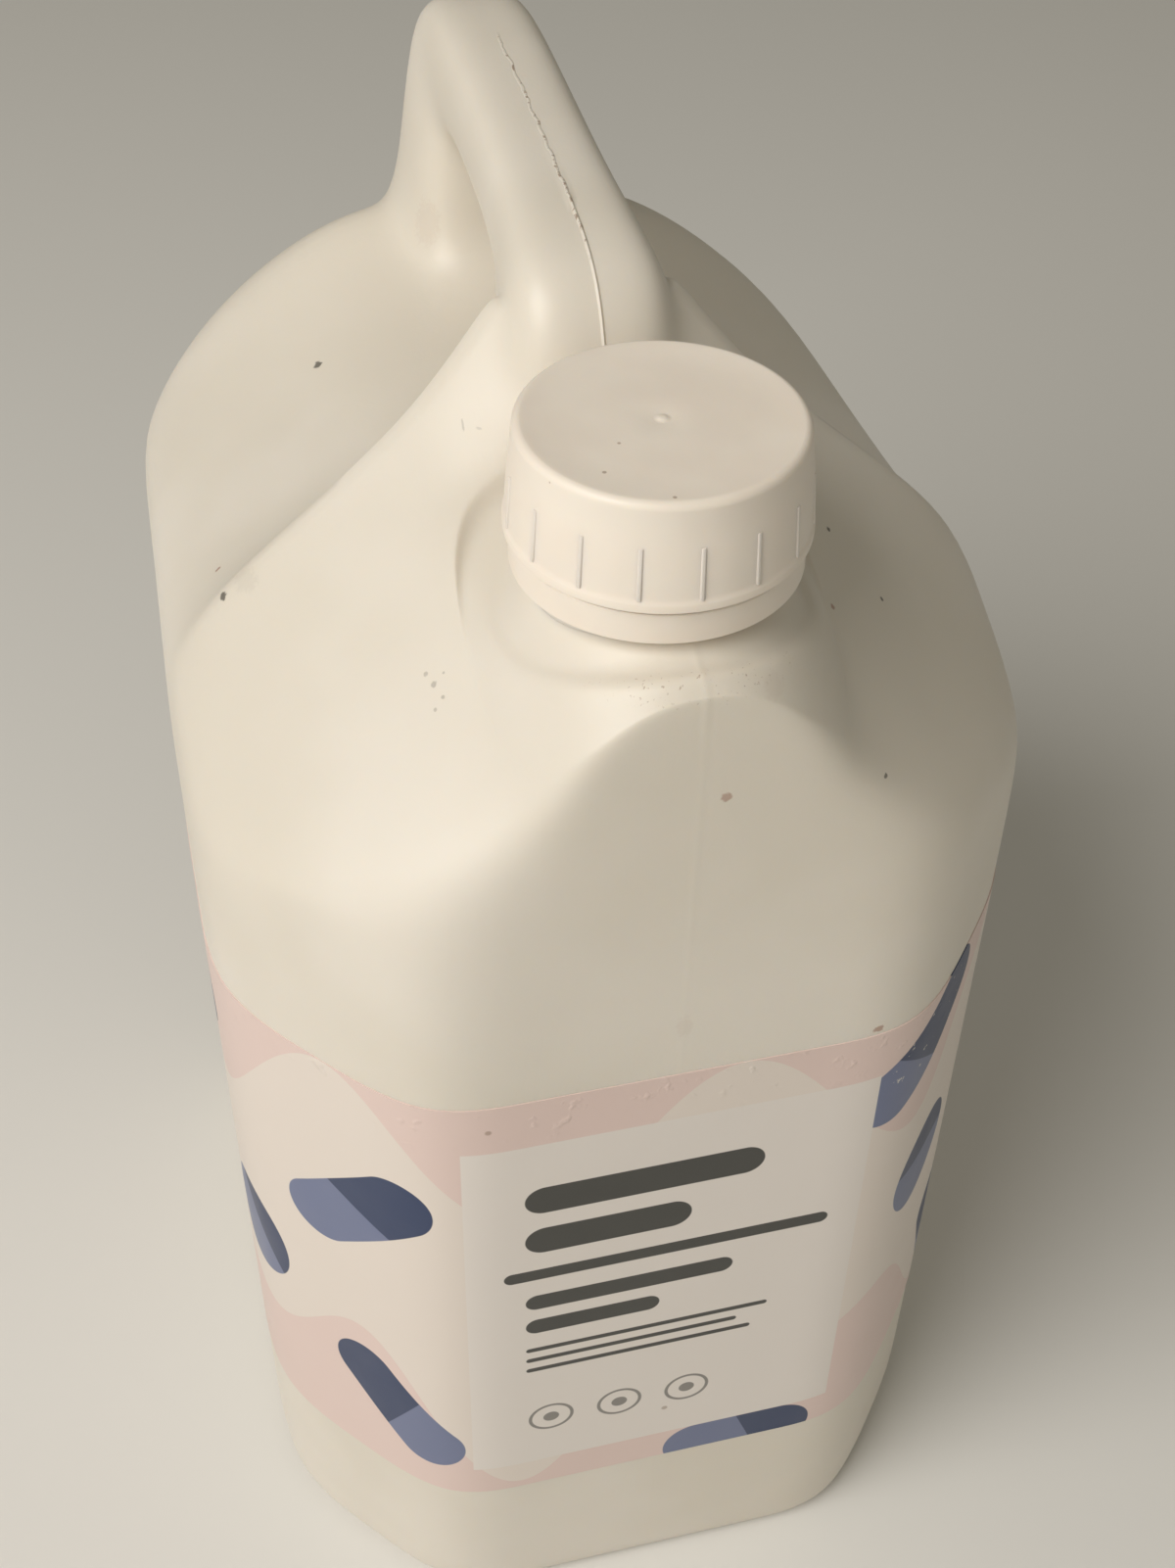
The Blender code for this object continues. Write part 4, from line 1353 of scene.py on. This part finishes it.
# %% Small shapes
def wedge(depth, foot_width, crest_width, length, lean, bevel):
    """A small rib: it points outwards along +X and stands up along +Z."""
    bm = bmesh.new()
    sunk = 0.4 * MM
    corners = []
    for height, inset, shift in ((0, 0, 0), (length, min(length / 6, 0.6 * MM), -lean)):
        for x, width in ((-sunk, foot_width), (depth - inset * 0.2, crest_width)):
            for side in (-1, 1):
                corners.append(bm.verts.new((x + shift, side * width / 2, height)))
    for a, b, c, d in ((0, 1, 3, 2), (4, 6, 7, 5), (0, 2, 6, 4), (1, 5, 7, 3), (2, 3, 7, 6), (0, 4, 5, 1)):
        bm.faces.new((corners[a], corners[b], corners[c], corners[d]))
    bmesh.ops.recalc_face_normals(bm, faces=bm.faces)
    bmesh.ops.bevel(bm, geom=bm.edges[:], offset=bevel, segments=2, profile=0.5, affect="EDGES")
    return mesh_from("wedge", bm)


# %% [markdown]
# ## Cap, ring and liner
#
# The cap is turned from an outline: a flat lid with a soft edge and the moulder's gate mark at
# its middle, a smooth upper skirt, a ribbed lower skirt and a flange. Its thread is swept on the
# same helix as the neck's, half a pitch lower. The ring below it holds on under the neck's bead.

# %% Cap
def cap_mesh():
    bm = bmesh.new()
    angles = even_turns(TURN_STEPS)
    skirt_foot = CAP_RADIUS - RIB_DEPTH
    skirt_top = skirt_foot - CAP_DRAFT * 1.4
    rib_foot = CAP_FOOT + CAP_FLANGE
    flange = CAP_RADIUS - FLANGE_INSET
    points = [
        (CAP_INNER, CAP_FOOT + 0.2 * MM), (CAP_INNER + 0.2 * MM, CAP_FOOT), (flange - 0.2 * MM, CAP_FOOT),
        (flange, CAP_FOOT + 0.2 * MM), (flange, CAP_FOOT + CAP_FLANGE * 0.6),
        (flange - 0.1 * MM, CAP_FOOT + CAP_FLANGE * 0.7), (skirt_foot + 0.08 * MM, rib_foot - 0.3 * MM),
        (skirt_foot, rib_foot), (skirt_foot - 0.05 * MM, rib_foot + 0.4 * MM),
    ]
    rib_top = rib_foot + RIB_LENGTH
    step_radius = skirt_foot - CAP_DRAFT * 0.6
    points += [(step_radius, rib_top - 0.3 * MM), (step_radius - 0.08 * MM, rib_top + 0.1 * MM)]
    for step in range(13):
        bend = math.pi / 2 * step / 12
        inwards = LID_EDGE * (1 - math.cos(bend))
        below = LID_EDGE * (1 - math.sin(bend))
        points.append((skirt_top - inwards, CAP_TOP - below))
    points += [
        (skirt_top - LID_EDGE - 0.5 * MM, CAP_TOP - 0.08 * MM), (14 * MM, CAP_TOP - 0.14 * MM),
        (6 * MM, CAP_TOP - 0.15 * MM), (1.8 * MM, CAP_TOP - 0.16 * MM), (1.4 * MM, CAP_TOP - 0.22 * MM),
        (0.9 * MM, CAP_TOP - 0.22 * MM), (0.6 * MM, CAP_TOP - 0.04 * MM), (0.3 * MM, CAP_TOP - 0.01 * MM),
    ]
    rings = [add_ring(bm, radius, height, angles) for radius, height in points]
    for lower, upper in zip(rings, rings[1:]):
        bridge(bm, lower, upper)
    bm.faces.new(rings[-1])
    ceiling = add_ring(bm, CAP_INNER - CAP_DRAFT / 2, CAP_TOP - CAP_LID, angles)
    bridge(bm, ceiling, rings[0])
    bm.faces.new(list(reversed(ceiling)))
    start = THREAD_START - THREAD_PITCH / 2
    ridge = thread_bar(CAP_INNER + THREAD_SUNK, CAP_INNER - CAP_THREAD_DEPTH, start, CAP_THREAD_TURNS)
    bm.from_mesh(mesh_from("cap thread", ridge))
    bmesh.ops.translate(bm, vec=(0, NECK_Y, 0), verts=bm.verts)
    rib = wedge(RIB_PROUD, RIB_WIDTH * 0.9, RIB_WIDTH * 0.4, RIB_LENGTH, CAP_DRAFT * 0.6, 0.1 * MM)
    values = {
        "Count": RIB_COUNT, "Radius": skirt_foot, "Height": rib_foot - 0.3 * MM,
        "Least size": 1.0, "Finish": cap_plastic,
    }
    bm.from_mesh(ring_of(rib, values))
    return mesh_from("cap_shell", bm)


# %% Tamper ring
def ring_mesh():
    inner = RING_RADIUS - RING_WALL
    lip = NECK_RADIUS + 2 * CLEARANCE
    lip_top = BEAD_HEIGHT - CLEARANCE
    top = CAP_FOOT - RING_GAP
    bm = turned([
        (lip, RING_FOOT + 0.2 * MM), (lip + 0.2 * MM, RING_FOOT), (RING_RADIUS - 0.25 * MM, RING_FOOT),
        (RING_RADIUS, RING_FOOT + 0.25 * MM), (RING_RADIUS - 0.05 * MM, (RING_FOOT + top) / 2),
        (RING_RADIUS - 0.12 * MM, top - 0.2 * MM), (RING_RADIUS - 0.3 * MM, top), (inner, top),
        (inner, lip_top), (lip, lip_top - 0.6 * MM),
    ], even_turns(TURN_STEPS))
    bmesh.ops.translate(bm, vec=(0, NECK_Y, 0), verts=bm.verts)
    stub = wedge(0.3 * MM, STUB_WIDTH, STUB_WIDTH * 0.7, STUB_HEIGHT + 0.3 * MM, 0, 0.08 * MM)
    values = {
        "Count": STUB_COUNT, "Radius": RING_RADIUS - 0.6 * MM, "Height": top - 0.3 * MM,
        "Least size": 0.7, "Finish": cap_plastic,
    }
    bm.from_mesh(ring_of(stub, values))
    return mesh_from("tamper_band", bm)


# %% [markdown]
# ## Put the pieces in place
#
# Each dressed piece rides on the body of its CAD node and stands in for it. The foam liner is
# hidden in the cap, and its plain disc is already right, so it only gets its finish.

# %% Dress the frame
def dress(name, mesh, material, body, node):
    item = finish_mesh(name, mesh, material)
    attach(item, body)
    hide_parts(node)


dress("bottle_shell", shell, shell_plastic, "bottle", "bottle")
dress("label_band", film_mesh(), printed_film, "bottle", "label")
dress("cap_shell", cap_mesh(), cap_plastic, "cap", "cap")
dress("tamper_band", ring_mesh(), cap_plastic, "tamper_ring", "tamper_ring")
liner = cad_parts["liner"]
for holder in liner.material_slots:
    holder.material = liner_foam


# %% [markdown]
# ## Floor, light and camera
#
# The light in the photo is a broad soft source from the left and the front, with little fill on
# the right. One large area lamp gives it, a weak one opens the shadows, and a pale world stands
# for the room. The camera looks steeply down at the front, from close by.

# %% Floor and lights
FLOOR_REACH = 3
FLOOR_PAINT = (0.79, 0.78, 0.75, 1)
ROOM_COLOUR = (1.0, 0.945, 0.79, 1)
ROOM_STRENGTH = 0.2
# Each lamp: place, the point it aims at and size in metres, power in watts, and colour.
WINDOW_LAMP = ((-0.91, -0.51, 1.11), (0, 0, 0.2), 1.05, 16.6, (1.0, 0.965, 0.92))
FILL_LAMP = ((0.4, -0.9, 0.7), (0, 0, 0.15), 0.8, 0.8, (1.0, 0.96, 0.88))


def add_floor():
    bm = bmesh.new()
    bmesh.ops.create_grid(bm, x_segments=1, y_segments=1, size=FLOOR_REACH)
    floor = link_mesh("floor", mesh_from("floor", bm))
    paint = bpy.data.materials.new("floor paint")
    paint.use_nodes = True
    shader = paint.node_tree.nodes["Principled BSDF"]
    shader.inputs["Base Color"].default_value = FLOOR_PAINT
    shader.inputs["Roughness"].default_value = 0.9
    floor.data.materials.append(paint)


def add_lamp(name, place, target, size, power, colour):
    lamp = bpy.data.lights.new(name, "AREA")
    lamp.shape = "DISK"
    lamp.size = size
    lamp.energy = power
    lamp.color = colour
    item = bpy.data.objects.new(name, lamp)
    bpy.context.scene.collection.objects.link(item)
    item.location = place
    item.rotation_euler = (Vector(target) - Vector(place)).to_track_quat("-Z", "Y").to_euler()
    print(name, "at", place, "with", power, "W")


def add_world():
    world = bpy.data.worlds.new("room")
    world.use_nodes = True
    back = world.node_tree.nodes["Background"]
    back.inputs["Color"].default_value = ROOM_COLOUR
    back.inputs["Strength"].default_value = ROOM_STRENGTH
    bpy.context.scene.world = world


add_floor()
add_world()
add_lamp("window", *WINDOW_LAMP)
add_lamp("room fill", *FILL_LAMP)
bpy.context.scene.view_settings.view_transform = "Standard"

# %% Camera
def add_camera():
    lens = bpy.data.cameras.new("camera")
    lens.sensor_width = CAMERA_SENSOR
    lens.lens = CAMERA_LENS
    lens.clip_start = 0.01
    camera = bpy.data.objects.new("camera", lens)
    bpy.context.scene.collection.objects.link(camera)
    right = CAMERA_FORWARD.cross(CAMERA_UP).normalized()
    upright = right.cross(CAMERA_FORWARD)
    turn = Matrix((right, upright, -CAMERA_FORWARD)).transposed()
    camera.matrix_world = Matrix.Translation(CAMERA_PLACE) @ turn.to_4x4()
    bpy.context.scene.camera = camera
    print("camera at mm:", [round(value / MM) for value in CAMERA_PLACE])


add_camera()
